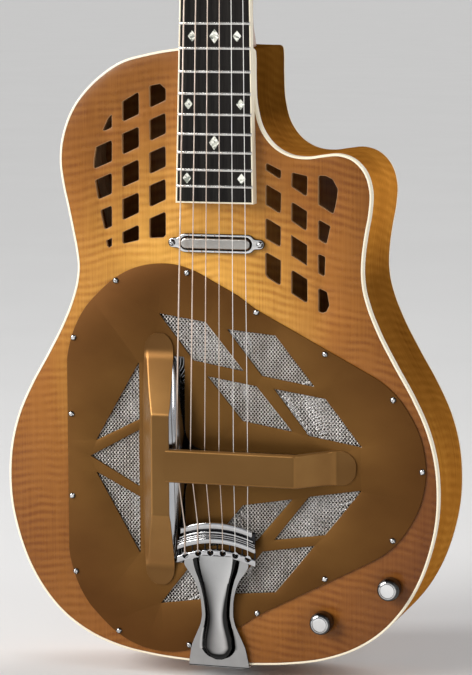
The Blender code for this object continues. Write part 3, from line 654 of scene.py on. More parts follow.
def flamed_maple(name, where, colours, ripple, contrast, bend, burst_and_sheen=None, gloss=LACQUER):
    """Lacquered maple: the grain runs along z of the point that where gives, and the flames
    lie across it. colours are its light, middle and dark. A sunburst, when given, holds its
    centre, its reach and its two outer tints; on the top it is partly painted light, a
    painted sheen round the centre and painted shade towards the edges, and with it the
    colour also darkens towards the neck. Without one the colour is painted lighter and
    darker along the body as painted light and shade, as on the side."""
    paint = Paint(name, gloss)
    point = where(paint)
    across, _, along = paint.parts(point)
    wander = paint.noise(point, (0.016, 0.0, 0.011), 2.0)
    phase = paint.math("MULTIPLY", along, 2 * math.pi / ripple)
    phase = paint.math("MULTIPLY_ADD", paint.math("ABSOLUTE", across), 0.16, phase)
    phase = paint.math("MULTIPLY_ADD", wander, bend, phase)
    patches = paint.noise(point, (0.045, 0.0, 0.055), 3.0)
    strength = paint.between(paint.ramp(patches, (0.36, 0.0), (0.62, 1.0)), 0.12, 1.0)
    flame = paint.math("MULTIPLY", paint.math("SINE", phase), strength)
    grain = paint.noise(point, (0.8, 0.0, 0.012), 4.0, 0.6)
    fine = paint.noise(point, (3.2, 0.0, 0.05), 2.0, 0.6)
    cloud = paint.noise(point, (0.014, 0.0, 0.012), 2.0)
    tone = paint.math("MULTIPLY_ADD", flame, contrast, 0.5)
    tone = paint.stirred(tone, grain, 0.8)
    tone = paint.stirred(tone, fine, 0.5)
    tone = paint.stirred(tone, cloud, 0.7)
    light, mid, dark = colours
    colour = paint.ramp(tone, (0.1, dark), (0.5, mid), (0.9, light))
    if burst_and_sheen:
        centre, reach, inner, outer = burst_and_sheen
        # The top's sunburst is partly painted light: a painted sheen round the centre, painted
        # shade towards the edges.
        far = paint.distance(point, centre, reach)
        colour = paint.tinted(colour, paint.ramp(far, (0.1, 1.0), (0.55, inner), (1.0, outer)))
        shade = paint.between(along, 1.0, 0.85, -150.0, -20.0)
    else:
        # Painted highlight on the side round z -130 to -100, painted shade towards the tail and the
        # neck.
        height = paint.math("MULTIPLY_ADD", paint.parts(paint.place())[2], 0.002, 1.0)
        shade = paint.ramp(
            height, (0.34, 0.66), (0.5, 0.40), (0.64, 0.38), (0.74, 0.95), (0.8, 1.0), (0.9, 0.22)
        )
    colour = paint.tinted(colour, shade)
    rough = paint.between(patches, 0.2, 0.34)
    return paint.finish(colour, rough, paint.math("ADD", fine, grain), 0.02, 0.35)


def streaked_wood(name, light, dark, rough=0.4, coat=0.0, pores=0.3, fibre=(1.1, 1.1, 0.02)):
    """Plain wood with its fibres along Z."""
    paint = Paint(name, {"Coat Weight": coat, "Coat Roughness": 0.1})
    point = paint.place()
    bands = paint.noise(point, (fibre[0] * 0.12, fibre[1] * 0.12, fibre[2] * 0.2), 2.0)
    grain = paint.noise(point, fibre, 4.0, 0.65)
    fine = paint.noise(point, (fibre[0] * 4, fibre[1] * 4, fibre[2] * 4), 2.0, 0.7)
    tone = paint.stirred(paint.stirred(bands, grain, 1.1), fine, 0.5)
    colour = paint.ramp(tone, (0.2, dark), (0.8, light))
    low = rough * 0.8
    return paint.finish(colour, paint.between(grain, low, rough * 1.25), fine, 0.05, pores)


def cream_binding():
    paint = Paint("cream_binding", {"Coat Weight": 0.3, "Coat Roughness": 0.08})
    point = paint.place()
    cloud = paint.noise(point, 0.03, 3.0)
    specks = paint.noise(point, 0.9, 3.0)
    tone = paint.math("MULTIPLY_ADD", specks, 0.35, paint.math("MULTIPLY", cloud, 0.65))
    colour = paint.ramp(tone, (0.25, (0.84, 0.72, 0.52)), (0.75, (0.95, 0.88, 0.70)))
    return paint.finish(colour, paint.between(cloud, 0.24, 0.36), specks, 0.02, 0.3)


def polished(name, colour, rough=(0.05, 0.11), tint=None):
    """Chrome or polished metal with faint smears."""
    paint = Paint(name, {"Metallic": 1.0})
    point = paint.place()
    smear = paint.noise(point, (0.09, 0.09, 0.05), 4.0, 0.6)
    scratch = paint.noise(point, (5.0, 5.0, 0.6), 2.0, 0.7)
    shades = paint.ramp(smear, (0.3, tint or tuple(c * 0.88 for c in colour)), (0.7, colour))
    rough = paint.between(paint.math("MULTIPLY_ADD", scratch, 0.4, smear), *rough)
    return paint.finish(shades, rough, scratch, 0.004, 0.2)


def chrome_with_painted_reflection(name, bright, dark, left=1.0):
    """Chrome with a painted reflection: its steep flanks are painted dark for the dark of the
    room and its flats painted light for the lamps. left is the share of painted light on
    faces that lean to the bass side."""
    paint = Paint(name, {"Metallic": 1.0})
    smear = paint.noise(paint.place(), (0.09, 0.09, 0.05), 4.0, 0.6)
    across, front, _ = paint.normal()
    flat = paint.math("ABSOLUTE", front)
    # Painted reflection: dark on steep faces, light on flat ones.
    shade = paint.ramp(flat, (0.0, dark), (0.89, dark), (0.955, bright * 0.92), (1.0, bright))
    colour = paint.tinted(shade, paint.ramp(smear, (0.3, 0.88), (0.7, 1.0)))
    # Painted shade on faces that lean to the bass side.
    colour = paint.tinted(colour, paint.between(across, left, 1.0, -0.28, 0.22))
    return paint.finish(colour, paint.between(smear, 0.04, 0.10), smear, 0.004, 0.2)


def brushed(name, colour, rough=(0.22, 0.36), lines=(0.2, 6.0, 6.0), depth=0.012):
    """Satin metal with fine parallel lines."""
    paint = Paint(name, {"Metallic": 1.0, "Anisotropic": 0.4})
    point = paint.place()
    line = paint.noise(point, lines, 3.0, 0.7)
    cloud = paint.noise(point, 0.08, 2.0)
    shade = paint.math("MULTIPLY_ADD", line, 0.4, paint.math("MULTIPLY", cloud, 0.6))
    colour = paint.ramp(shade, (0.25, tuple(c * 0.78 for c in colour)), (0.75, colour))
    return paint.finish(colour, paint.between(line, *rough), line, depth, 0.4)


def bronze_lacquer(name, light, dark, rough, metallic, crest=1.0, bump=0.25):
    """Satin antique bronze: a baked metallic lacquer, browner towards the plate's edge as
    painted shade. crest is the share of painted light on faces that look straight forward."""
    paint = Paint(name, {"Metallic": metallic, "Specular IOR Level": 0.1})
    point = paint.place()
    cloud = paint.noise(point, (0.012, 0.03, 0.02), 3.0)
    flake = paint.noise(point, 3.0, 2.0, 0.8)
    colour = paint.ramp(paint.stirred(cloud, flake, 0.35), (0.3, dark), (0.7, light))
    # Painted shade: the colour browns away from the plate's middle.
    away = paint.distance(point, (5.0, MID_Z), (170.0, 155.0))
    colour = paint.blend(
        paint.ramp(away, (0.45, 0.0), (1.0, 1.0)), colour, (0.70, 0.58, 0.55, 1.0), "MULTIPLY"
    )
    # Painted light: faces that look straight forward keep only the crest share of it.
    flat = paint.math("ABSOLUTE", paint.normal()[1])
    colour = paint.tinted(colour, paint.ramp(flat, (0.93, 1.0), (0.99, crest)))
    return paint.finish(colour, paint.between(cloud, *rough), flake, 0.01, bump)


def pearl():
    """Shell inlay: small cells that each catch the light their own way."""
    paint = Paint("pearl", {"Coat Weight": 0.6, "Coat Roughness": 0.05, "Metallic": 0.25})
    point = paint.place()
    drift = paint.node("TexNoise", {"Vector": point, "Scale": 0.35}).outputs[1]
    bent_point = paint.stretched(paint.blend(0.35, point, drift), (0.6, 0.0, 0.9))
    cells = paint.node("TexVoronoi", {"Vector": bent_point, "Scale": 1.0})
    tone = paint.parts(cells.outputs["Color"])[0]
    colour = paint.ramp(
        tone, (0.0, (0.20, 0.23, 0.20)), (0.3, (0.55, 0.56, 0.48)),
        (0.6, (0.80, 0.80, 0.70)), (1.0, (0.93, 0.92, 0.86)),
    )
    return paint.finish(colour, paint.between(tone, 0.15, 0.35), tone, 0.03, 0.3)


def black_plastic():
    paint = Paint("black_plastic", {"Coat Weight": 0.1})
    point = paint.place()
    cloud = paint.noise(point, 0.5, 3.0)
    colour = paint.ramp(cloud, (0.3, (0.010, 0.010, 0.011)), (0.7, (0.028, 0.027, 0.026)))
    return paint.finish(colour, paint.between(cloud, 0.35, 0.5), cloud, 0.02, 0.3)


def button_pearloid():
    paint = Paint("button_pearloid", {"Coat Weight": 0.5, "Coat Roughness": 0.08})
    inputs = {"Vector": paint.place(), "Scale": 0.25, "Detail": 3.0, "Distortion": 2.5}
    tone = paint.node("TexNoise", inputs).outputs[0]
    colour = paint.ramp(
        tone, (0.3, (0.55, 0.52, 0.44)), (0.5, (0.82, 0.79, 0.70)), (0.7, (0.93, 0.91, 0.84))
    )
    return paint.finish(colour, paint.between(tone, 0.2, 0.35), tone, 0.02, 0.2)


TOP_COLOURS = ((0.940, 0.515, 0.108), (0.785, 0.405, 0.072), (0.550, 0.240, 0.037))
# The top's sunburst is partly painted light: its light centre is a painted sheen on the lacquer,
# its dark edges painted shade.
TOP_BURST_AND_SHEEN = ((-25.0, -235.0), (215.0, 330.0), (0.385, 0.275, 0.25), (0.20, 0.125, 0.14))
BACK_COLOURS = ((0.60, 0.28, 0.075), (0.46, 0.195, 0.05), (0.30, 0.115, 0.029))
BACK_BURST = ((0.0, -240.0), (260.0, 380.0), (0.8, 0.74, 0.70), (0.5, 0.42, 0.38))
SIDE_COLOURS = ((0.86, 0.38, 0.060), (0.57, 0.220, 0.030), (0.29, 0.098, 0.012))
MAPLE_TOP = flamed_maple("maple_top", Paint.place, TOP_COLOURS, 6.4, 0.25, 14.0, TOP_BURST_AND_SHEEN)
MAPLE_BACK = flamed_maple("maple_back", Paint.place, BACK_COLOURS, 8.5, 0.20, 14.0, BACK_BURST)
MAPLE_SIDE = flamed_maple(
    "maple_side", Paint.run, SIDE_COLOURS, 7.5, 0.09, 10.0, gloss={"Specular IOR Level": 0.0}
)
MAPLE_EDGE = streaked_wood("maple_edge", (0.40, 0.22, 0.09), (0.22, 0.11, 0.045), 0.6)
NECK_WOOD = streaked_wood("neck_wood", (0.44, 0.195, 0.062), (0.25, 0.095, 0.030), 0.32, 0.4, 0.2)
INNER_MAHOGANY = streaked_wood("inner_mahogany", (0.34, 0.16, 0.07), (0.18, 0.075, 0.035), 0.6)
SPRUCE = streaked_wood("spruce", (0.72, 0.54, 0.33), (0.50, 0.33, 0.17), 0.65)
# The sound well's wood is painted near black: painted shade inside the body behind the screens.
WELL_WOOD_PAINTED_DARK = streaked_wood("well_wood_painted_dark_as_shade", (0.075, 0.052, 0.036), (0.030, 0.021, 0.016), 0.6)
EBONY = streaked_wood("ebony", (0.017, 0.015, 0.013), (0.005, 0.004, 0.004), 0.5, 0.0, 0.35)
EBONY.node_tree.nodes["Principled BSDF"].inputs["Specular IOR Level"].default_value = 0.1
BONE = streaked_wood(
    "bone", (0.87, 0.82, 0.70), (0.74, 0.66, 0.50), 0.35, 0.2, 0.2, (2.2, 2.2, 1.4)
)
SADDLE_MAPLE = streaked_wood("saddle_maple", (0.70, 0.50, 0.29), (0.48, 0.30, 0.14), 0.45)
CREAM = cream_binding()
CHROME = polished("chrome", (0.66, 0.66, 0.67), (0.03, 0.08))
# Chrome painted near black as painted shade, for the comb's recessed base, the ball ends and the
# walls of holes.
SHADE_PAINTED_CHROME = polished("chrome_painted_dark_as_shade", (0.035, 0.035, 0.038), (0.10, 0.20))
# The tail strap, the knobs, the screws and the pickup ring take chrome with painted reflections.
FLUTED = chrome_with_painted_reflection("fluted_chrome_painted_reflection", 0.80, 0.03, 0.2)
KNOB_CHROME = chrome_with_painted_reflection("knob_chrome_painted_reflection", 0.92, 0.07)
CAST = polished("cast_aluminium", (0.52, 0.53, 0.55), (0.06, 0.14))
NICKEL = brushed("satin_nickel", (0.55, 0.53, 0.50))
STEEL = brushed("steel", (0.52, 0.53, 0.55), (0.3, 0.45))
FRET_METAL = polished("fret_metal", (0.80, 0.78, 0.75), (0.14, 0.24))
SPUN = brushed("spun_aluminium", (0.50, 0.50, 0.51), (0.07, 0.13), (3.0, 0.3, 3.0), 0.01)
WIRE = polished("mesh_wire", (0.80, 0.77, 0.74), (0.22, 0.36), (0.46, 0.42, 0.38))
WOUND = polished("wound_bronze", (0.90, 0.77, 0.67), (0.24, 0.38), (0.68, 0.53, 0.43))
PLAIN = polished("plain_steel", (0.94, 0.92, 0.89), (0.35, 0.50))
BRONZE = bronze_lacquer(
    "bronze_lacquer", (0.175, 0.085, 0.021), (0.125, 0.057, 0.0135), (0.34, 0.46), 0.5
)
# The hand rest's bronze is a lighter copy of the plate's, a painted highlight, with painted shade
# on its forward faces.
LIT_REST_BRONZE = bronze_lacquer(
    "handrest_bronze_painted_light", (0.305, 0.158, 0.050), (0.228, 0.112, 0.033), (0.26, 0.36), 0.6, 0.60, 0.1
)
PEARL = pearl()
BUTTON = button_pearloid()
BLACK = black_plastic()


# ---------------------------------------------------------------- body
def turned_start(loop, place):
    """The same loop starting at its point nearest to a place."""
    first = min(range(len(loop)), key=lambda i: (loop[i] - Vector(place)).length)
    return loop[first:] + loop[:first]


def body_outline():
    """The guitar's outline, starting at the tail so that the side's ends meet there."""
    design = outlines("top_binding", FORWARD, front_view)[0]
    design = rounded(design, 4.0, 50.0, 6)
    return curve(turned_start(design, (0.0, BODY_END_Z)), OUTLINE_STEP)


def cover_outlines():
    loops = outlines("coverplate", FORWARD, front_view)
    return [curve(loops[0], OUTLINE_STEP)], loops[1:]


def build_sides(outline):
    low, high = node_box("body_rim")
    front, back = low.y - SIDE_LAP, high.y + SIDE_LAP
    side = [(0.0, front), (0.0, back), (SIDE_THICK, back), (SIDE_THICK, front)]
    show("flamed_side", hoop(outline, side), MAPLE_SIDE,
         stands_for=("body_rim",), slot="maple_side")
    face = [(BINDING_WIDTH, 0.0), *edge_profile(BINDING_ROUND, 4)]
    deep = node_box("top_binding")[1].y
    band = face + [(0.0, deep), (BINDING_WIDTH, deep)]
    show("front_binding", hoop(outline, band), CREAM, stands_for=("top_binding",), slot="cream")
    deep = node_box("back_binding")[0].y
    band = [(d, DEPTH - y) for d, y in face] + [(0.0, deep), (BINDING_WIDTH, deep)]
    show("rear_binding", hoop(outline, band), CREAM, stands_for=("back_binding",), slot="cream")


def build_plates(outline):
    """The top with its openings, sorted by where their middles lie, and the back."""
    well, *others = outlines("top_plate", FORWARD, front_view)[1:]
    pickup_z = middle("pickup_cover").z
    pickup = [loop for loop in others if abs(middle_of(loop).y - pickup_z) < 4]
    controls = [loop for loop in others if middle_of(loop).y < CONTROLS_BELOW_Z]
    sound = [loop for loop in others if loop not in pickup and loop not in controls]
    openings = [rounded(loop, 1.6, 20.0) for loop in sound] + [curve(well, OUTLINE_STEP)]
    openings += pickup + [circle(middle_of(loop), 4.9) for loop in controls]
    edge = inset(outline, BINDING_WIDTH + 0.08)
    top = plate([edge] + openings, 0.0, node_box("top_plate")[1].y, edge=0.35)
    show("flamed_top", top, MAPLE_TOP, MAPLE_EDGE, stands_for=("top_plate",), slot="maple_top")
    back = plate([edge], DEPTH, node_box("back_plate")[0].y, edge=0.0)
    show("flamed_back", back, MAPLE_BACK, stands_for=("back_plate",), slot="maple_side")


def middle_of(loop):
    return sum(loop, Vector((0.0, 0.0))) / len(loop)


# ---------------------------------------------------------------- resonators
def cone_profile(outer, rise):
    """The front of a spun cone: flat cap, ridged flank and rolled rim."""
    cap, shoulder, foot = 10.5, rise - 1.6, outer - 7.5
    front = [(0.0, rise), (8.5, rise), (cap, shoulder)]
    count, ridges = 66, 11
    for i in range(count + 1):
        share = i / count
        height = shoulder * (1 - share) ** 0.86 + 3.2 * share
        ridge = 0.6 * math.sin(share * ridges * 2 * math.pi)
        front.append((cap + (foot - cap) * share, height + ridge))
    return front + [(outer - 6.4, 0.9), (outer - 4.5, 0.6), (outer - 0.5, 0.8), (outer, 0.45)]


def build_cones():
    for node in CONE_NODES:
        low, high = node_box(node)
        at = middle(node)
        front = cone_profile((high.x - low.x) / 2, high.y - low.y)
        back = [(radius, height - 0.55) for radius, height in reversed(front)]
        cone = turned(front + back, (at.x, high.y, at.z), FORWARD, 112)
        show("spun_" + node, cone, SPUN, stands_for=(node,), slot="spun_aluminium", smooth=60)


def ellipse_section(left, right, crown, base, lean=0.62, count=17):
    """A humped section from its left foot over the crown to its right foot."""
    centre, half = (left + right) / 2, (right - left) / 2
    return [
        (centre - half * math.cos(a), base - (base - crown) * math.sin(a) ** lean)
        for a in arc(count - 1, math.pi)
    ]


def bridge_bar():
    """Rings of the long bar, from rows of place along, left, right and crown."""
    rows = [
        (-83.0, -47.0, -42.0, 1.5), (-81.5, -50.5, -38.5, -1.5), (-76.0, -53.5, -35.0, -4.6),
        (-66.0, -54.5, -32.6, -8.5), (-50.0, -55.0, -30.4, -12.6), (-34.0, -55.0, -28.8, -15.0),
        (-16.0, -55.0, -27.2, -15.4), (0.0, -55.0, -26.6, -15.4),
    ]
    rows += [(-d, *rest) for d, *rest in rows[:-1]]
    return [
        [Vector((x, y, MID_Z + d)) for x, y in ellipse_section(left, right, crown, 4.2)]
        for d, left, right, crown in smooth_rows(rows, 2.0)
    ]


def bridge_arm():
    """Rings of the arm, from rows of x, half width and crown."""
    rows = [
        (-44.0, 14.0, -12.0), (-34.0, 12.5, -12.0), (-26.0, 8.6, -11.4), (-10.0, 7.6, -10.6),
        (20.0, 7.4, -10.2), (42.0, 7.4, -9.0), (64.0, 7.6, -5.6), (84.0, 7.8, -3.0),
        (91.5, 5.0, -1.5),
    ]
    return [
        [Vector((x, y, MID_Z + d)) for d, y in ellipse_section(-half, half, crown, 3.6, 0.5)]
        for x, half, crown in smooth_rows(rows, 3.0)
    ]


def bridge_foot(node):
    apex = node_box(node)[0].y
    at = middle(node)
    end = apex - 2.0
    corners = [(0, 0), (8.0, 0), (8.0, 3.0), (6.6, 4.6), (6.6, end), (0, end)]
    return turned(soft_profile(corners, 0.8), (at.x, apex - 0.25, at.z), FORWARD, 40)


def build_bridge():
    """The cast T: a long humped bar, an arm, and a foot on each cone."""
    feet = [bridge_foot(node) for node in CONE_NODES]
    show("cast_t_bridge", merged(loft(bridge_bar()), loft(bridge_arm()), *feet), CAST,
         stands_for=("t_bridge",), slot="cast_aluminium", smooth=50)


def build_saddle():
    """A thin strip of maple, lower under each string."""
    crown = STRING_12 + STRING_SLOPE * SADDLE_Z
    half, foot = 33.0, -11.5
    places = (-half, -24.0, 0.0, 24.0, half)
    heights = [crown + drop for drop in (1.3, 1.0, 0.55, 0.6, 1.0)]
    marks = {round(x, 3) for x in np.linspace(-half, half, 23)}
    for string in STRINGS:
        marks |= {round(string.saddle + shift, 3) for shift in (-1.0, -0.45, 0.0, 0.45, 1.0)}
    rings = []
    for x in sorted(mark for mark in marks if abs(mark) <= half):
        y = float(np.interp(x, places, heights))
        if any(abs(x - string.saddle) < 0.7 for string in STRINGS):
            y += 0.5
        right = [(0.9, y), (1.9, y + 1.6), (2.0, foot)]
        section = soft_profile([(-w, v) for w, v in reversed(right)] + right, 0.5, 3)
        rings.append([Vector((x, p.y, SADDLE_Z + p.x)) for p in section])
    show("maple_saddle", loft(rings), SADDLE_MAPLE, stands_for=("saddle",), slot="maple_saddle")


# ---------------------------------------------------------------- coverplate
SCREWS = (
    (163.0, 0.0), (-83.5, 140.3), (-83.5, -140.3), (-24.9, 148.0), (-24.9, -148.0),
    (31.1, 118.8), (31.1, -118.8), (85.9, 88.2), (85.9, -88.2), (139.9, 54.8), (139.9, -54.8),
    (-119.2, 94.0), (-119.2, -94.0), (-121.6, 32.9), (-121.6, -32.9),
)


def slotted_screw(x, z, y, radius, height, turn, name, stands_for=()):
    """A round-head screw with a driver slot, its head standing on a surface at y."""
    profile = [(0, -6.0), (radius * 0.4, -6.0), (radius * 0.45, 0.0), (radius, 0.0)]
    for a in arc(5, last=False):
        profile.append((radius * math.cos(a), height * (0.25 + 0.75 * math.sin(a))))
    profile.append((0.0, height))
    head = turned(profile, (x, y, z), FORWARD, 24)
    obj = show(name, head, KNOB_CHROME, stands_for=stands_for, slot="chrome")
    reach, half = radius + 1, radius * 0.13
    corners = [(-reach, -half), (reach, -half), (reach, half), (-reach, half)]
    spin = Matrix.Rotation(turn, 2)
    loop = [Vector((x, z)) + spin @ Vector(corner) for corner in corners]
    cut_away(obj, plate([loop], y - height - 1.0, y - height * 0.45, edge=0.0))


def cover_corners(loop):
    """Openings keep small corner radii; the bridge slot has wide ones where bar and arm meet."""
    if length_of(loop) < 300:
        return rounded(loop, 0.3, 20.0)
    result = []
    for i, point in enumerate(loop):
        before, after = loop[i - 1] - point, loop[(i + 1) % len(loop)] - point
        inner = abs(point.x - BRIDGE_MEET_X) < 1.0 and abs(point.y - MID_Z) < 12.0
        result += bend(point, before, after, 19.0 if inner else 2.0, 8)
    return result


def build_cover():
    edge, openings = cover_outlines()
    low, high = node_box("coverplate")
    loops = edge + [cover_corners(loop) for loop in openings]
    shape = plate(loops, low.y, high.y, edge=0.45, back=0.2)
    show("bronze_coverplate", shape, BRONZE, BRONZE,
         stands_for=("coverplate",), slot="bronze_paint")
    for number, (x, d) in enumerate(SCREWS, 1):
        slotted_screw(x, MID_Z + d, low.y, 2.3, 1.5, number * 1.1, f"cover_screw_{number}")


def inside_spans(loop, origin, along):
    """Where a line lies inside a loop, as pairs of distances along it."""
    across = Vector((-along.y, along.x))
    hits = []
    for i in range(len(loop)):
        a, b = loop[i - 1] - origin, loop[i] - origin
        side_a, side_b = a.dot(across), b.dot(across)
        if (side_a > 0) != (side_b > 0):
            share = side_a / (side_a - side_b)
            hits.append((a + (b - a) * share).dot(along))
    hits.sort()
    return list(zip(hits[::2], hits[1::2]))


MESH_PITCH, MESH_SWING, MESH_STEP = 2.1, 0.28, 0.62
MESH_WIRE_R = 0.35


def mesh_wires(loop, depth, way, other, sign):
    """The wires along one way that lie inside a loop, swinging over and under the others."""
    normal = Vector((-way.y, way.x))
    across = Vector((-other.y, other.x))
    reach = [point.dot(normal) / MESH_PITCH for point in loop]
    wires = []
    for index in range(math.ceil(min(reach)), math.floor(max(reach)) + 1):
        origin = normal * (index * MESH_PITCH)
        for low, high in inside_spans(loop, origin, way):
            if high - low < 2.0:
                continue
            at = np.linspace(low, high, max(3, round((high - low) / MESH_STEP)))
            x = origin.x + way.x * at
            z = origin.y + way.y * at
            crossing = (x * across.x + z * across.y) / MESH_PITCH
            y = depth + sign * MESH_SWING * np.cos(np.pi * (crossing + index))
            wires.append(tube(np.stack([x, y, z], axis=1), MESH_WIRE_R, 5, (0, 1, 0)))
    return wires


def build_screens():
    """Woven wire cloth: two families of wires that pass over and under each other."""
    angle = math.radians(50)
    down = Vector((math.cos(angle), -math.sin(angle)))
    up = Vector((math.cos(angle), math.sin(angle)))
    for node in ("screen_upper", "screen_lower", "screen_bass"):
        loop = outlines(node, FORWARD, front_view)[0]
        depth = node_box(node)[0].y + 0.55
        wires = mesh_wires(loop, depth, down, up, -1) + mesh_wires(loop, depth, up, down, 1)
        show("woven_" + node, tubes(wires), WIRE, stands_for=(node,), slot="wire_mesh", smooth=75)


# ---------------------------------------------------------------- hand rest
REST_SHEET = 1.2
REST_LONG, REST_TAB = 100.6, 89.5
REST_ARM_START, REST_ARM_END, REST_ARM_ROUND = -34.6, 111.0, 99.0


def bent(value, blend):
    """The value kept above 0, its corner rounded over blend to either side."""
    if abs(value) > blend:
        return max(value, 0.0)
    return (value + blend) ** 2 / (4 * blend)


def slope(at, foot, crest, crisp=0.03):
    """0 beyond the foot and 1 within the crest, with a soft and a crisp bend."""
    share = (foot - at) / (foot - crest)
    return 1 - bent(1 - bent(share, 0.12), crisp)


def round_end(at, start, end):
    """Share of the full width where a piece ends in a half round between start and end."""
    if at <= start:
        return 1.0
    return math.sqrt(max(1 - ((at - start) / (end - start)) ** 2, 0.0))


def sheet_ring(outer, inner, place):
    return [place(point) for point in outer] + [place(point) for point in reversed(inner)]


def rest_bar(seat, crest):
    """The long bar, a sheet that slopes from both ends to the crest in the middle."""
    ways = (
        *np.linspace(0, 36, 7), *np.linspace(37, 43, 9), *np.linspace(45, 80, 16),
        *np.linspace(81, 89, 9), 91, 93, 95, 96.5, 98, 99, 99.7, 100,
    )
    rings = []
    for d in sorted({round(side * way, 2) for side in (1, -1) for way in ways}):
        rise = slope(abs(d), 85.0, 39.5)
        grown = min(max((95.0 - abs(d)) / 50.0, 0.0), 1.0)
        left, right = -58.5 - 3.5 * grown**0.6, -37.0 + 5.0 * grown
        centre = (left + right) / 2
        half = (right - left) / 2 * round_end(abs(d), REST_TAB, REST_LONG)
        left, right = centre - half, centre + half
        top = seat - REST_SHEET + (crest - seat + REST_SHEET) * rise
        shoulder = left + (right - left) * (0.10 + 0.42 * rise)
        under = top + min(REST_SHEET, seat - top - 0.02)
        foot = seat - REST_SHEET * (1 - rise)
        outer = [(left, foot), (left, foot - 0.2), (shoulder, top), (right, top)]
        wall = left + 1.3
        inner = [(wall, seat), (wall, seat - 0.1), (shoulder + 0.8, under), (right, under)]
        outer, inner = soft_profile(outer, 1.5, 7), soft_profile(inner, 2.0, 7)
        rings.append(sheet_ring(outer, inner, lambda p, d=d: Vector((p.x, p.y, MID_Z + d))))
    return loft(rings)


def rest_arm(seat, crest):
    """The short arm, a channel with round upper edges."""
    stations = [
        *np.linspace(REST_ARM_START, 62, 12), *np.linspace(64, 74, 11), *np.linspace(76, 88, 7),
        *np.linspace(89, 97, 9), 99, 101, 103, 105, 107, 108.5, 109.8, 110.6, REST_ARM_END,
    ]
    rings = []
    for x in stations:
        rise = slope(x, 94.0, 69.4, 0.06)
        half = (13.0 + 0.5 * (1 - rise)) * round_end(x, REST_ARM_ROUND, REST_ARM_END + 0.4)
        top = seat - REST_SHEET + (crest - seat + REST_SHEET) * rise
        lip = min(top + 5.5, seat)
        under = top + min(REST_SHEET, lip - top - 0.02)
        inside = half - min(REST_SHEET, half * 0.5)
        outer = [(-half, lip), (-half, top), (half, top), (half, lip)]
        inner = [(-inside, lip), (-inside, under), (inside, under), (inside, lip)]
        outer, inner = soft_profile(outer, 2.6, 6), soft_profile(inner, 1.8, 6)
        rings.append(sheet_ring(outer, inner, lambda p, x=x: Vector((x, p.y, MID_Z + p.x))))
    return loft(rings)


def build_handrest():
    low, high = node_box("handrest")
    rest = merged(rest_bar(high.y, low.y + 0.9), rest_arm(high.y, low.y))
    show("bronze_handrest", rest, LIT_REST_BRONZE,
         stands_for=("handrest",), slot="bronze_paint", smooth=32)


# ---------------------------------------------------------------- tailpiece
def comb_arc(x, drop):
    return -368.5 - drop - 0.0065 * x * x


def comb_strip(top, bottom, half, count=24):
    """An arched band of the comb between two drops below its top edge."""
    xs = np.linspace(-half, half, count)
    upper = [Vector((x, comb_arc(x, top))) for x in xs]
    lower = [Vector((x, comb_arc(x, bottom))) for x in xs[::-1]]
    return rounded(upper + lower, 0.8, 30.0)


def ball_place(tail_x):
    """Where a string's ball end sits in the comb."""
    return tail_x, -392.4 - 0.0052 * tail_x**2


def comb_windows():
    """The openings between the comb's teeth, one for each string."""
    between_tails = [(a.tail + b.tail) / 2 for a, b in zip(STRINGS, STRINGS[1:])]
    gates = [-31.0, *between_tails, 31.0]
    windows = []
    for left, right in zip(gates, gates[1:]):
        xs = np.linspace(left + 0.5, right - 0.5, 6)
        loop = [Vector((x, comb_arc(x, 16.8))) for x in xs]
        loop += [Vector((x, comb_arc(x, 21.6))) for x in xs[::-1]]
        windows.append(rounded(loop, 0.7, 30.0))
    return windows


def comb_shells(balls):
    """The comb's bright strips: top, bottom, half width and edge radius of each."""
    strips = (
        (0.0, 4.9, 29.6, 0.9), (6.9, 8.4, 30.2, 0.5), (9.3, 10.2, 31.6, 0.35),
        (10.8, 11.7, 31.8, 0.35), (12.3, 16.5, 32.0, 0.8),
    )
    back = COMB_FRONT + 2.0
    shells = [
        plate([comb_strip(top, bottom, half)], COMB_FRONT, back, edge=edge)
        for top, bottom, half, edge in strips
    ]
    lip = [comb_strip(21.9, 27.0, 32.0)] + [circle(ball, 2.2, 20) for ball in balls]
    return shells + [plate(lip, COMB_FRONT + 0.35, back, edge=0.4)]


# strap: height, half width, half width of the flute, its height, groove beside it, face
STRAP_ROWS = (
    (-395.0, 22.6, 15.8, 1.2, 0.8, -9.5), (-398.0, 25.4, 16.4, 1.5, 1.6, -9.4),
    (-402.0, 26.2, 15.9, 1.7, 1.8, -9.3), (-408.0, 23.0, 14.6, 2.2, 1.7, -9.0),
    (-414.0, 18.8, 12.7, 2.5, 1.5, -8.8), (-423.0, 15.2, 10.6, 3.1, 1.2, -8.2),
    (-433.0, 13.2, 9.2, 3.9, 1.0, -7.2), (-443.0, 12.8, 8.6, 4.6, 1.0, -6.2),
    (-450.0, 14.0, 9.4, 5.0, 1.0, -5.6), (-457.0, 16.8, 10.9, 5.2, 1.0, -5.1),
    (-464.0, 19.9, 12.0, 5.0, 1.0, -4.6), (-469.0, 21.9, 12.2, 4.6, 1.1, -4.2),
    (-474.0, 23.0, 10.2, 3.6, 1.0, -3.8), (-477.5, 23.6, 6.6, 1.6, 0.7, -3.5),
    (-479.6, 24.0, 2.0, 0.05, 0.0, -3.2), (-482.0, 24.3, 1.0, 0.0, 0.0, -3.0),
    (-484.0, 24.5, 1.0, 0.0, 0.0, -2.8),
)
STRAP_HALF, STRAP_FACE = 24.5, -2.8
STRAP_THICK = 1.5
GROOVE = 0.17


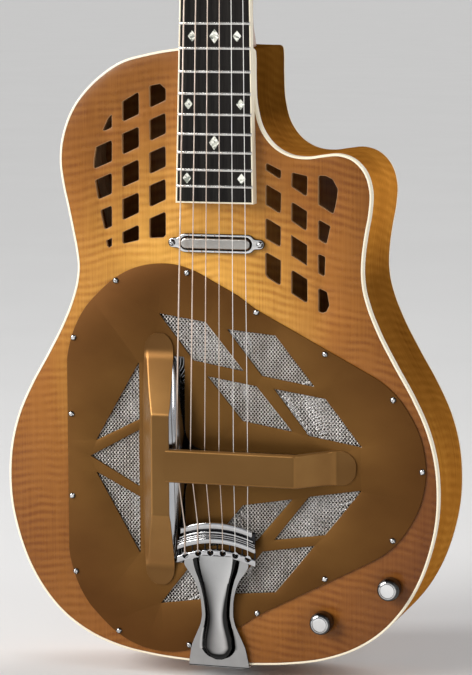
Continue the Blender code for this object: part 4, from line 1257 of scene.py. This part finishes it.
def strap_ring(z, half, ridge, height, groove, face):
    """A section of the strap: a raised flute with a groove on each side of it."""
    side = []
    for share in (*np.linspace(0, 1 - GROOVE, 15), 1 - GROOVE / 2, 1.0, 1 + GROOVE / 2, 1 + GROOVE):
        raised = height * (1 - min(share, 1.0) ** 2) ** 0.62
        sunk = groove * max(1 - abs(share - 1) / GROOVE, 0.0)
        side.append((share * ridge, face - raised + sunk))
    side += [(x, face) for x in np.linspace((1 + GROOVE) * ridge, half, 5)[1:]]
    crest = [Vector((-x, y, z)) for x, y in reversed(side)]
    crest += [Vector((x, y, z)) for x, y in side[1:]]
    deepest = face + STRAP_THICK - 1.0
    below = [Vector((p.x, max(p.y + STRAP_THICK, deepest), z)) for p in reversed(crest)]
    return crest + below


def build_strap():
    """The strap over the face, and its quarter bend over the tail."""
    rings = [strap_ring(*row) for row in smooth_rows(STRAP_ROWS, 0.9)]
    spread = [point.x / STRAP_HALF for point in rings[0][: len(rings[0]) // 2]]
    end_z = STRAP_ROWS[-1][0]
    reach = end_z - node_box("tailpiece")[0].z
    for angle in arc(6)[1:]:
        drop = reach * math.sin(angle)
        back = 1 - math.cos(angle)
        under = end_z - max(drop - STRAP_THICK, 0.0) * 0.9
        crest = [Vector((u * STRAP_HALF, STRAP_FACE + 2.6 * back, end_z - drop)) for u in spread]
        below_y = STRAP_FACE + STRAP_THICK + 1.1 * back
        below = [Vector((p.x, below_y, under)) for p in reversed(crest)]
        rings.insert(0, crest + below)
    show("chrome_tail_strap", loft(rings), FLUTED, slot="chrome", smooth=30)


def tail_skirt():
    """The plate on the tail, with the hole for the end pin."""
    skirt = [(24.5, -1.6), (24.5, 20.0), (18.0, 36.0), (12.0, 52.0), (8.0, 57.0)]
    loop = flat_points(*skirt, *((-x, y) for x, y in reversed(skirt)))
    loops = [rounded(loop, 6.0, 10.0, 6), circle((0.0, PIN_Y), 6.6)]
    tail_z = node_box("tailpiece")[0].z
    return plate(loops, tail_z, tail_z + 1.6, lambda u, v, w: Vector((u, v, w)), edge=0.4, back=0.2)


def build_tailpiece():
    balls = [ball_place(string.tail) for string in STRINGS]
    openings = comb_windows() + [circle(ball, 1.9, 20) for ball in balls]
    base = [comb_strip(0.4, 27.2, 31.6)] + openings
    base = plate(base, COMB_FRONT + 1.9, COMB_FRONT + 3.2, edge=0.3)
    # The comb's base is painted near black, a painted shade in the recess behind the bright strips.
    show("comb_base", base, SHADE_PAINTED_CHROME, SHADE_PAINTED_CHROME, slot="chrome")
    shells = comb_shells(balls)
    build_strap()
    # The walls of the ball and pin holes are painted near black as painted shade.
    show("chrome_tailpiece", merged(*shells, tail_skirt()), CHROME, SHADE_PAINTED_CHROME,
         stands_for=("tailpiece",), slot="chrome", smooth=30)
    bead = [(1.55 * math.sin(a), -1.55 * math.cos(a)) for a in arc(10, math.pi)]
    # The ball ends are painted near black as painted shade.
    for string, (x, z) in zip(STRINGS, balls):
        ball = turned(bead, (x, COMB_FRONT + 3.6, z), FORWARD, 20)
        show(f"ball_end_{string.number}", ball, SHADE_PAINTED_CHROME, slot="wound_string")


# ---------------------------------------------------------------- neck
def half_round(half, depth, lean, pinch=0.0):
    """33 points of a neck section as (across, drop), narrowed by pinch towards the back."""
    result = []
    for angle in arc(32, math.pi):
        drop = depth * math.sin(angle) ** lean
        result.append((half * math.cos(angle) * (1 - pinch * drop / depth), drop))
    return result


def neck_rings():
    """Sections of heel and neck, from rows of z, width, depth and pinch, then of the head."""
    rows = [
        (0.6, 57.6, 81.2, 0.5), (5.0, 57.5, 78.0, 0.5), (10.0, 57.3, 66.0, 0.42),
        (14.0, 57.2, 50.0, 0.32), (19.0, 57.0, 34.0, 0.2), (28.0, 56.7, 22.0, 0.1),
        (40.0, 56.3, 19.0, 0.05), (60.0, 55.6, 17.0, 0.0),
        (160.0, 51.9, 15.5, 0.0), (NUT_Z + 4.0, 46.2, 14.5, 0.0),
    ]
    under_board = BOARD_THICK + BOARD_GAP / 2
    rings = []
    for z, width, depth, pinch in smooth_rows(rows, 4.0):
        section = half_round(width / 2, depth, 0.8, pinch)
        rings.append([neck_point(x, under_board + drop, z) for x, drop in section])
    head_rows = ((5.0, 24.6, 18.4), (9.0, 26.8, 16.6), (14.0, 29.6, 15.3), (20.0, 32.0, 14.2))
    for t, half, under in head_rows:
        section = half_round(half, under - 5.0, 0.55)
        rings.append([head_point(x, t, 5.0 + drop) for x, drop in section])
    return rings


def build_neck():
    veneer, *openings = outlines("headstock_veneer", -HEAD_IN, head_view)
    outer = curve(rounded(veneer, 5.0, 30.0), 2.0)
    slots = [rounded(loop, 5.0, 20.0, 6) for loop in openings]
    wood = [Vector((p.x, max(p.y, 2.0))) for p in outer]
    head = plate([wood] + slots, 1.6, HEAD_THICK, head_point, edge=0.0, back=2.2, steps=4)
    neck = show("neck_and_head", merged(loft(neck_rings()), head), NECK_WOOD, NECK_WOOD,
                stands_for=("neck",), slot="mahogany")
    bore = [(0, -50), (3.6, -50), (3.6, 50), (0, 50)]
    bores = [turned(bore, head_point(0.0, t, ROLLER_M), (1, 0, 0), 24) for t in ROLLER_T]
    cut_away(neck, merged(*bores))
    face = plate([outer] + slots, 0.0, 1.5, head_point, edge=0.5)
    show("ebony_head_face", face, EBONY, EBONY, stands_for=("headstock_veneer",), slot="ebony")


def crowned(x, z):
    """Depth of the fretboard's slightly rounded face."""
    return 0.45 * (x / board_half(z)) ** 2


def board_bottom(z):
    if z >= 2.0:
        return BOARD_THICK
    return -BOARD_GAP / 2 - BOARD_TOP - NECK_SLOPE * z


def board_stations():
    top_z = node_box("fretboard")[1].z
    low_z = BOARD_END_Z + BOARD_BINDING + SEAM
    return [low_z, *np.linspace(-110, 0, 12), 2.0, *np.linspace(12, top_z - 4, 24), top_z]


def build_fretboard():
    rings = []
    for z in board_stations():
        half = board_half(z) - BOARD_BINDING - SEAM
        ring = [neck_point(x, crowned(x, z), z) for x in np.linspace(-half, half, 13)]
        rings.append(ring + [neck_point(x, board_bottom(z), z) for x in (half, -half)])
    show("ebony_fretboard", loft(rings), EBONY, stands_for=("fretboard",), slot="ebony")


def edge_ring(out_x, in_x, out_z, in_z):
    """A rounded binding section from its outer bottom over the face to its inner bottom."""
    corners = [
        (0.0, board_bottom(out_z)), (0.0, 0.5), (1.0, crowned(in_x, in_z)),
        (1.0, board_bottom(in_z)),
    ]
    return [
        neck_point(out_x + (in_x - out_x) * p.x, p.y, out_z + (in_z - out_z) * p.x)
        for p in soft_profile(corners, 0.45, 3)
    ]


def build_board_edge():
    """Binding down one side of the board, round its end and up the other side."""
    inner_z = BOARD_END_Z + BOARD_BINDING

    def side_ring(side, out_z, in_z):
        inner = side * (board_half(in_z) - BOARD_BINDING)
        return edge_ring(side * board_half(out_z), inner, out_z, in_z)

    stations = board_stations()[1:]
    rings = [side_ring(-1, z, z) for z in reversed(stations)]
    rings += [side_ring(side, BOARD_END_Z, inner_z) for side in (-1, 1)]
    rings += [side_ring(1, z, z) for z in stations]
    show("fretboard_edge", loft(rings), CREAM, stands_for=("fretboard_binding",), slot="cream")


def fret_place(number):
    return NUT_Z - SCALE_LENGTH * (1 - 2 ** (-number / 12))


def build_frets():
    """Nineteen crowned wires with rounded-down ends."""
    frets = []
    for number in range(1, 20):
        z = fret_place(number)
        half = board_half(z) - 0.5
        flat = half - 1.8
        sizes = [(-half, 0.25), (-half + 0.7, 0.85)]
        sizes += [(x, 1.0) for x in np.linspace(-flat, flat, 11)]
        sizes += [(half - 0.7, 0.85), (half, 0.25)]
        rings = []
        for x, size in sizes:
            crown = [(-1.25 * math.cos(a), -math.sin(a) * size) for a in arc(8, math.pi)]
            section = [(-1.25, 0.3), *crown, (1.25, 0.3)]
            rings.append([neck_point(x, crowned(x, z) + y, z + w) for w, y in section])
        frets.append(loft(rings))
    show("frets", merged(*frets), FRET_METAL, slot="satin_nickel", smooth=50)


LARGE_INLAY, SMALL_INLAY = (4.1, 5.65), (3.5, 4.3)


def inlay_places():
    """Seen inlays as (x, z, half sizes), then those above the photograph's edge."""
    places = [(-17.9, 9.2, SMALL_INLAY), (17.9, 9.2, SMALL_INLAY), (0.0, 9.1, LARGE_INLAY)]
    places += [(-20.9, -42.6, SMALL_INLAY), (20.9, -42.6, SMALL_INLAY), (0.0, -72.0, LARGE_INLAY)]
    places += [(-21.9, -99.4, SMALL_INLAY), (21.9, -99.4, SMALL_INLAY)]
    for fret, x, size in (
        (3, 0.0, SMALL_INLAY), (5, 0.0, LARGE_INLAY), (7, 0.0, SMALL_INLAY),
        (9, -12.0, SMALL_INLAY), (9, 12.0, SMALL_INLAY),
    ):
        places.append((x, (fret_place(fret - 1) + fret_place(fret)) / 2, size))
    return places


def build_inlays():
    inlays = []
    for x, z, (wide, tall) in inlay_places():
        loop = flat_points((x, z + tall), (x + wide, z), (x, z - tall), (x - wide, z))
        loop = rounded(loop, 0.4, 20.0, 2)
        depth = crowned(x, z) - 0.06
        inlays.append(plate([loop], depth, depth + 0.8, neck_slab, edge=0.04, steps=1))
    show("pearl_inlays", merged(*inlays), PEARL, slot="pearl_button")


def build_nut():
    """The nut: slots that hold the strings, ends that stand a little higher."""
    half = board_half(NUT_Z)
    slot_y = STRING_12 + STRING_SLOPE * NUT_Z - BOARD_TOP - NECK_SLOPE * NUT_Z
    marks = {-half, half, -half + 0.8, half - 0.8}
    for string in STRINGS:
        near, far = string.radius * 0.7, string.radius + 0.25
        marks |= {string.nut + shift for shift in (-far, -near, 0.0, near, far)}
    rings = []
    for x in sorted(marks):
        top = -0.9 + 0.9 * (x / half) ** 2
        if abs(x) > half - 0.1:
            top += 0.6
        for string in STRINGS:
            if abs(x - string.nut) <= string.radius * 0.75:
                top = slot_y + string.radius * 0.9
        back, foot = NUT_LENGTH - 0.2, BOARD_THICK - 0.1
        corners = [(0.2, foot), (0.2, top + 0.2), (1.2, top), (back, top + 1.1), (back, foot)]
        section = soft_profile(corners, 0.6, 3)
        rings.append([neck_point(x, p.y, NUT_Z + p.x) for p in section])
    show("bone_nut", loft(rings), BONE, stands_for=("nut",), slot="bone", smooth=30)


def build_strap_button():
    at = middle("strap_button")
    face = node_box("strap_button")[0].y
    corners = [
        (0, 0), (6.0, 0), (5.4, 1.4), (3.7, 3.2), (3.5, 6.0), (5.2, 8.2), (7.0, 9.2), (6.8, 10.6),
        (3.0, 11.0), (0, 11.0),
    ]
    button = turned(soft_profile(corners, 0.8), (at.x, face, at.z), (0, 1, 0))
    show("turned_strap_button", button, CHROME, stands_for=("strap_button",), slot="chrome")


# ---------------------------------------------------------------- tuners
PLATE_X = 36.5


def tuner_lug(side, at, m):
    """One of the two eyes that a worm shaft turns in."""
    low, high, inner, outer = at - 2.8, at + 2.8, 36.2, 41.6
    lug = flat_points((inner, low), (outer, low), (outer, high), (inner, high))
    lug = [Vector((side * p.x, p.y)) for p in rounded(lug, 1.8, 20.0, 4)]
    bore = circle((side * WORM_X, at), 1.75, 20)
    return plate([lug, bore], m - 1.15, m + 1.15, head_point, edge=0.25, back=0.25)


def build_tuner_strip(side, label):
    def side_slab(u, v, w):
        return head_point(w, v, u)

    loop = flat_points((0.6, 40.0), (14.2, 40.0), (14.2, 140.0), (0.6, 140.0))
    loops = [rounded(loop, 3.0, 20.0, 6)] + [circle((ROLLER_M, t), 3.6) for t in ROLLER_T]
    shells = [plate(loops, side * PLATE_X, side * (PLATE_X - 1.2), side_slab, edge=0.35)]
    shells += [tuner_lug(side, t + WORM_STEP, m) for t in ROLLER_T for m in (1.9, 12.5)]
    show(f"tuner_strip_{label}", merged(*shells), NICKEL, NICKEL,
         stands_for=(f"tuner_plate_{label}",), slot="satin_nickel")
    screw = [(0, -3.0), (0.9, -3.0), (0.9, 0.0), (1.9, 0.0), (1.6, 0.7), (0.9, 1.05), (0, 1.1)]
    for number, t in enumerate((44.0, 64.0, 100.0, 136.0), 1):
        base = head_point(side * PLATE_X, t, 3.4 + 0.6 * (number % 2))
        show(f"tuner_screw_{label}_{number}", turned(screw, base, (side, 0, 0), 20), NICKEL,
             slot="satin_nickel")


def build_post(number, side, t):
    """A string post with the gear on its outer end."""
    base = head_point(0.0, t, ROLLER_M)
    corners = [
        (0, 3.0), (ROLLER_R, 3.0), (ROLLER_R, 36.9), (3.6, 37.4), (2.0, 37.6), (2.0, 41.2),
        (1.4, 41.6), (0, 41.6),
    ]
    post = turned(soft_profile(corners, 0.4, 3), base, (side, 0, 0), 28)
    rim = []
    for k, angle in enumerate(arc(GEAR_TEETH * 4, 2 * math.pi, last=False)):
        radius = GEAR_R if k % 4 < 2 else GEAR_R - 0.9
        rim.append(Vector((math.cos(angle), math.sin(angle))) * radius)

    def gear_slab(u, v, w):
        return base + Vector((w, 0, 0)) + HEAD_UP * v + HEAD_IN * u

    gear = plate([rim], side * 40.5, side * 37.7, gear_slab, edge=0.15, back=0.15, steps=1)
    show(f"post_and_gear_{number}", merged(post, gear), NICKEL, body=f"post_{number}",
         stands_for=(f"roller_{number}",), slot="satin_nickel")


def build_key(number, side, at):
    """A worm shaft with five threads, and the button on it."""
    profile = [(0, -1.2), (1.3, -1.2), (1.5, -0.9), (1.5, 3.4)]
    for k in range(5):
        low = 3.6 + k * 1.36
        profile += [(1.5, low), (2.4, low + 0.45), (2.4, low + 0.8), (1.5, low + 1.25)]
    profile += [(1.5, 10.7), (1.5, 21.6), (2.2, 22.4), (2.5, 23.4), (2.4, 26.0), (0, 26.0)]
    shaft = turned(profile, head_point(side * WORM_X, at, 0.0), HEAD_IN, 24)
    rows = [
        (23.6, 2.6, 2.2), (24.6, 4.4, 2.7), (26.5, 7.0, 3.3), (29.0, 8.3, 3.7), (32.0, 8.6, 3.8),
        (35.0, 8.1, 3.6), (37.5, 6.6, 3.2), (39.2, 4.6, 2.5), (40.0, 2.6, 1.5),
    ]
    rings = [
        [
            head_point(side * WORM_X + thick * math.cos(a), at + across * math.sin(a), m)
            for a in arc(28, 2 * math.pi, last=False)
        ]
        for m, across, thick in smooth_rows(rows, 0.8)
    ]
    body = f"key_{number}"
    show(f"worm_shaft_{number}", shaft, NICKEL, body=body,
         stands_for=(f"tuner_key_{number}",), slot="satin_nickel")
    show(f"pearl_button_{number}", loft(rings), BUTTON, body=body, slot="pearl_button", smooth=60)


def build_tuners():
    build_tuner_strip(-1, "bass")
    build_tuner_strip(1, "treble")
    for string in STRINGS:
        side = -1 if string.nut < 0 else 1
        t = ROLLER_T[string.row]
        build_post(string.number, side, t)
        build_key(string.number, side, t + WORM_STEP)


# ---------------------------------------------------------------- strings
def string_points(string, reach):
    """From the ball end over the comb, the saddle and the nut to the post."""
    x, z = ball_place(string.tail)
    over_comb = COMB_FRONT - string.radius - 0.15
    nut_y = STRING_12 + STRING_SLOPE * NUT_Z
    return [
        Vector((x, -9.3, z + 0.9)),
        Vector((x, over_comb, z + 3.4)),
        Vector((x, over_comb, comb_arc(x, -0.4))),
        Vector((string.saddle, STRING_12 + STRING_SLOPE * SADDLE_Z, SADDLE_Z)),
        Vector((string.nut, nut_y, NUT_Z + 0.6)),
        Vector((string.nut, nut_y + 0.1, NUT_Z + NUT_LENGTH)),
        head_point(string.roller, ROLLER_T[string.row], ROLLER_M - reach),
    ]


def string_coil(string, reach):
    """Turns round the post, each beside the last and nearer to the head's middle."""
    turns, count = 2.4, 60
    advance = (2 * string.radius + 0.08) * turns
    if string.roller < 0:
        advance = -advance
    coil = []
    for k in range(1, count + 1):
        angle = 2 * math.pi * turns * k / count
        t = ROLLER_T[string.row] + reach * math.sin(angle)
        x = string.roller - advance * k / count
        coil.append(head_point(x, t, ROLLER_M - reach * math.cos(angle)))
    return coil


def build_strings():
    for string in STRINGS:
        wound = string.radius > 0.3
        reach = ROLLER_R + string.radius + 0.05
        points = string_points(string, reach)
        path = []
        for a, b in zip(points, points[1:]):
            parts = max(1, round((b - a).length / (0.3 if wound else 6.0)))
            path += [a.lerp(b, k / parts) for k in range(parts)]
        straight = len(path)
        path += [points[-1]] + string_coil(string, reach)
        radii = np.full(len(path), string.radius if wound else string.radius + 0.05)
        if wound:
            radii[1:straight:2] *= 0.86
        kind = "wound" if wound else "plain"
        wire = tube([tuple(p) for p in path], radii, 8 if wound else 10, (1, 0, 0))
        show(f"{kind}_string_{string.number}", tubes([wire]), WOUND if wound else PLAIN,
             stands_for=(f"string_{string.number}",), slot=f"{kind}_string", smooth=60)


# ---------------------------------------------------------------- pickup and controls
def build_pickup():
    at = middle("pickup_cover")
    x, z = at.x, at.z
    screw_x = 35.6
    ear = [(24.0, 7.4), (28.5, 6.4), (31.0, 4.2), (34.0, 3.9), (37.0, 3.3), (38.8, 0.0)]
    right = flat_points(*ear, *((u, -v) for u, v in reversed(ear[:-1])))
    ring = curve([Vector((x, z)) + p for p in right + [-p for p in right]], 1.2)
    bores = [circle((x + side * screw_x, z), 1.5, 20) for side in (1, -1)]
    low, high = node_box("pickup_ring")
    shape = plate([ring, stadium((x, z), 57.0, 9.6)] + bores, low.y, high.y, edge=0.8, steps=4)
    # The ring's opening walls are painted near black, a painted shadow round the cover.
    show("chrome_pickup_ring", shape, KNOB_CHROME, SHADE_PAINTED_CHROME,
         stands_for=("pickup_ring",), slot="chrome")
    low, high = node_box("pickup_cover")
    cover = plate([stadium((x, z), 55.4, 8.0)], low.y, high.y, edge=1.0, steps=5)
    show("nickel_pickup_cover", cover, NICKEL, stands_for=("pickup_cover",), slot="satin_nickel")
    for side, label in ((-1, "bass"), (1, "treble")):
        node = f"pickup_screw_{label}"
        slotted_screw(x + side * screw_x, z, -3.3, 2.6, 1.9, 0.6 * side, f"slotted_{node}",
                      stands_for=(node,))


def knob_profile(tall):
    """A plain round knob with a fine ring groove round its slightly domed top."""
    corners = [
        (0, 1.0), (3.4, 1.0), (3.4, 0.2), (7.9, 0.0), (8.9, 0.2), (9.0, 1.4),
        (8.85, tall - 3.6), (7.9, tall - 1.2), (6.3, tall - 0.35),
    ]
    groove = [(6.0, 0.3), (5.75, 0.75), (5.5, 0.7), (5.35, 0.15)]
    profile = soft_profile(corners, 0.5, 4)
    profile += [Vector((radius, tall - drop)) for radius, drop in groove]
    for a in arc(6, last=False):
        profile.append(Vector((5.2 * math.cos(a), tall - 0.12 + 0.12 * math.sin(a))))
    return profile + [Vector((0, tall))]


def build_controls():
    for label in ("tone", "volume"):
        node = f"knob_{label}"
        low, high = node_box(node)
        at = middle(node)
        knob = turned(knob_profile(high.y - low.y), (at.x, high.y, at.z), FORWARD, 72)
        show(f"chrome_{node}", knob, KNOB_CHROME, body=f"{label}_control",
             stands_for=(node,), slot="chrome", smooth=30)


def build_end_pin():
    """A flanged end pin outside, and a threaded barrel inside the body."""
    profile = [
        (3.4, 40.0), (3.4, -6.0), (5.2, -6.2), (8.0, -6.0), (8.5, -4.6), (7.0, -2.2), (7.0, -0.2),
        (10.0, 0.0), (10.0, 1.4), (6.0, 2.0),
    ]
    for k in range(16):
        profile += [(5.9, 5.0 + k * 2.4), (6.0, 6.0 + k * 2.4)]
    profile.append((5.9, 46.0))
    base = (0.0, PIN_Y, node_box("end_pin_jack")[0].z + 6.3)
    show("chrome_end_pin", turned(profile, base, (0, 0, 1), 40), CHROME,
         stands_for=("end_pin_jack",), slot="chrome")


# ---------------------------------------------------------------- kept nodes, stage
# The sound well takes the wood painted dark as shade.
KEPT = {
    "top_lining": SPRUCE, "back_lining": SPRUCE, "soundwell": WELL_WOOD_PAINTED_DARK,
    "neck_block": INNER_MAHOGANY, "tail_block": INNER_MAHOGANY, "pickup_coil": BLACK,
    "truss_rod": STEEL, "pot_tone": STEEL, "pot_volume": STEEL,
    "pot_shaft_tone": STEEL, "pot_shaft_volume": STEEL,
}


def dress_kept_nodes():
    for node, material in KEPT.items():
        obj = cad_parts[node]
        for slot in obj.material_slots:
            slot.material = material


def aimed(name, light, at, aim):
    obj = bpy.data.objects.new(name, light)
    obj.location = at
    obj.rotation_euler = (Vector(aim) - Vector(at)).to_track_quat("-Z", "Y").to_euler()
    bpy.context.scene.collection.objects.link(obj)


def soft_box(name, at, size, power, colour=(1.0, 1.0, 1.0)):
    light = bpy.data.lights.new(name, "AREA")
    light.shape = "RECTANGLE"
    light.size, light.size_y = size
    light.energy = power
    light.color = colour
    aimed(name, light, at, STAGE_AIM)


def sky_panel(name, towards, strength, spread, colour=(1.0, 1.0, 1.0)):
    """A far soft light, even over the whole floor."""
    light = bpy.data.lights.new(name, "SUN")
    light.energy = strength
    light.angle = math.radians(spread)
    light.color = colour
    aimed(name, light, towards, (0.0, 0.0, 0.0))


STAGE_AIM = (0.0, 0.0, -0.5)


def build_floor():
    paint = Paint("pale_floor", {"Specular IOR Level": 0.1})
    cloud = paint.noise(paint.place(), 0.004, 2.0)
    colour = paint.ramp(cloud, (0.3, (0.755, 0.755, 0.755)), (0.7, (0.77, 0.77, 0.77)))
    bm = bmesh.new()
    bmesh.ops.create_circle(bm, cap_ends=True, radius=60.0, segments=96)
    mesh = bpy.data.meshes.new("floor")
    bm.to_mesh(mesh)
    bm.free()
    floor = bpy.data.objects.new("floor", mesh)
    floor.location.z = cad_box[0].z - 2 * MM
    mesh.materials.append(paint.finish(colour, paint.between(cloud, 0.8, 0.95)))
    bpy.context.scene.collection.objects.link(floor)


def build_world():
    """Light from all round that is brighter near the horizon than overhead."""
    world = bpy.data.worlds.new("studio")
    bpy.context.scene.world = world
    world.use_nodes = True
    nodes, links = world.node_tree.nodes, world.node_tree.links
    towards = nodes.new("ShaderNodeTexCoord").outputs["Generated"]
    parts = nodes.new("ShaderNodeSeparateXYZ")
    links.new(towards, parts.inputs[0])
    fade = nodes.new("ShaderNodeMapRange")
    fade.interpolation_type = "SMOOTHSTEP"
    limits = {"From Min": 0.14, "From Max": 0.40, "To Min": 0.60, "To Max": 0.15}
    for name, value in limits.items():
        fade.inputs[name].default_value = value
    links.new(parts.outputs["Z"], fade.inputs["Value"])
    back = nodes["Background"]
    back.inputs["Color"].default_value = (0.97, 0.98, 1.0, 1.0)
    links.new(fade.outputs["Result"], back.inputs["Strength"])


def build_stage():
    build_floor()
    build_world()
    sky_panel("key", (-0.85, -0.95, 0.62), 2.35, 30.0, (1.0, 0.98, 0.95))
    sky_panel("rear", (0.5, 0.9, 0.8), 1.3, 40.0)
    soft_box("left_box", (-1.9, -0.7, 0.35), (0.35, 1.5), 30.0)
    soft_box("right_box", (1.8, -0.8, 0.4), (0.45, 1.5), 8.0)


def build_camera():
    """The eye point and turn that give the reference view, on a long lens."""
    yaw, pitch, roll = 0.291710, 0.135723, 0.003915
    camera = bpy.data.cameras.new("camera")
    camera.lens = 148.72
    camera.sensor_width = 36.0
    camera.clip_end = 200.0
    obj = bpy.data.objects.new("camera", camera)
    turn = (
        Matrix.Rotation(yaw, 4, "Z")
        @ Matrix.Rotation(math.pi / 2 - pitch, 4, "X")
        @ Matrix.Rotation(-roll, 4, "Z")
    )
    obj.matrix_world = Matrix.Translation(placed((630.2, -2051.5, 69.2))) @ turn
    bpy.context.scene.collection.objects.link(obj)
    bpy.context.scene.camera = obj


def main():
    outline = body_outline()
    build_sides(outline)
    build_plates(outline)
    build_cones()
    build_bridge()
    build_saddle()
    build_cover()
    build_screens()
    build_handrest()
    build_tailpiece()
    build_neck()
    build_fretboard()
    build_board_edge()
    build_frets()
    build_inlays()
    build_nut()
    build_strap_button()
    build_tuners()
    build_strings()
    build_pickup()
    build_controls()
    build_end_pin()
    dress_kept_nodes()
    build_stage()
    build_camera()
    bpy.context.scene.view_settings.view_transform = "Standard"


main()
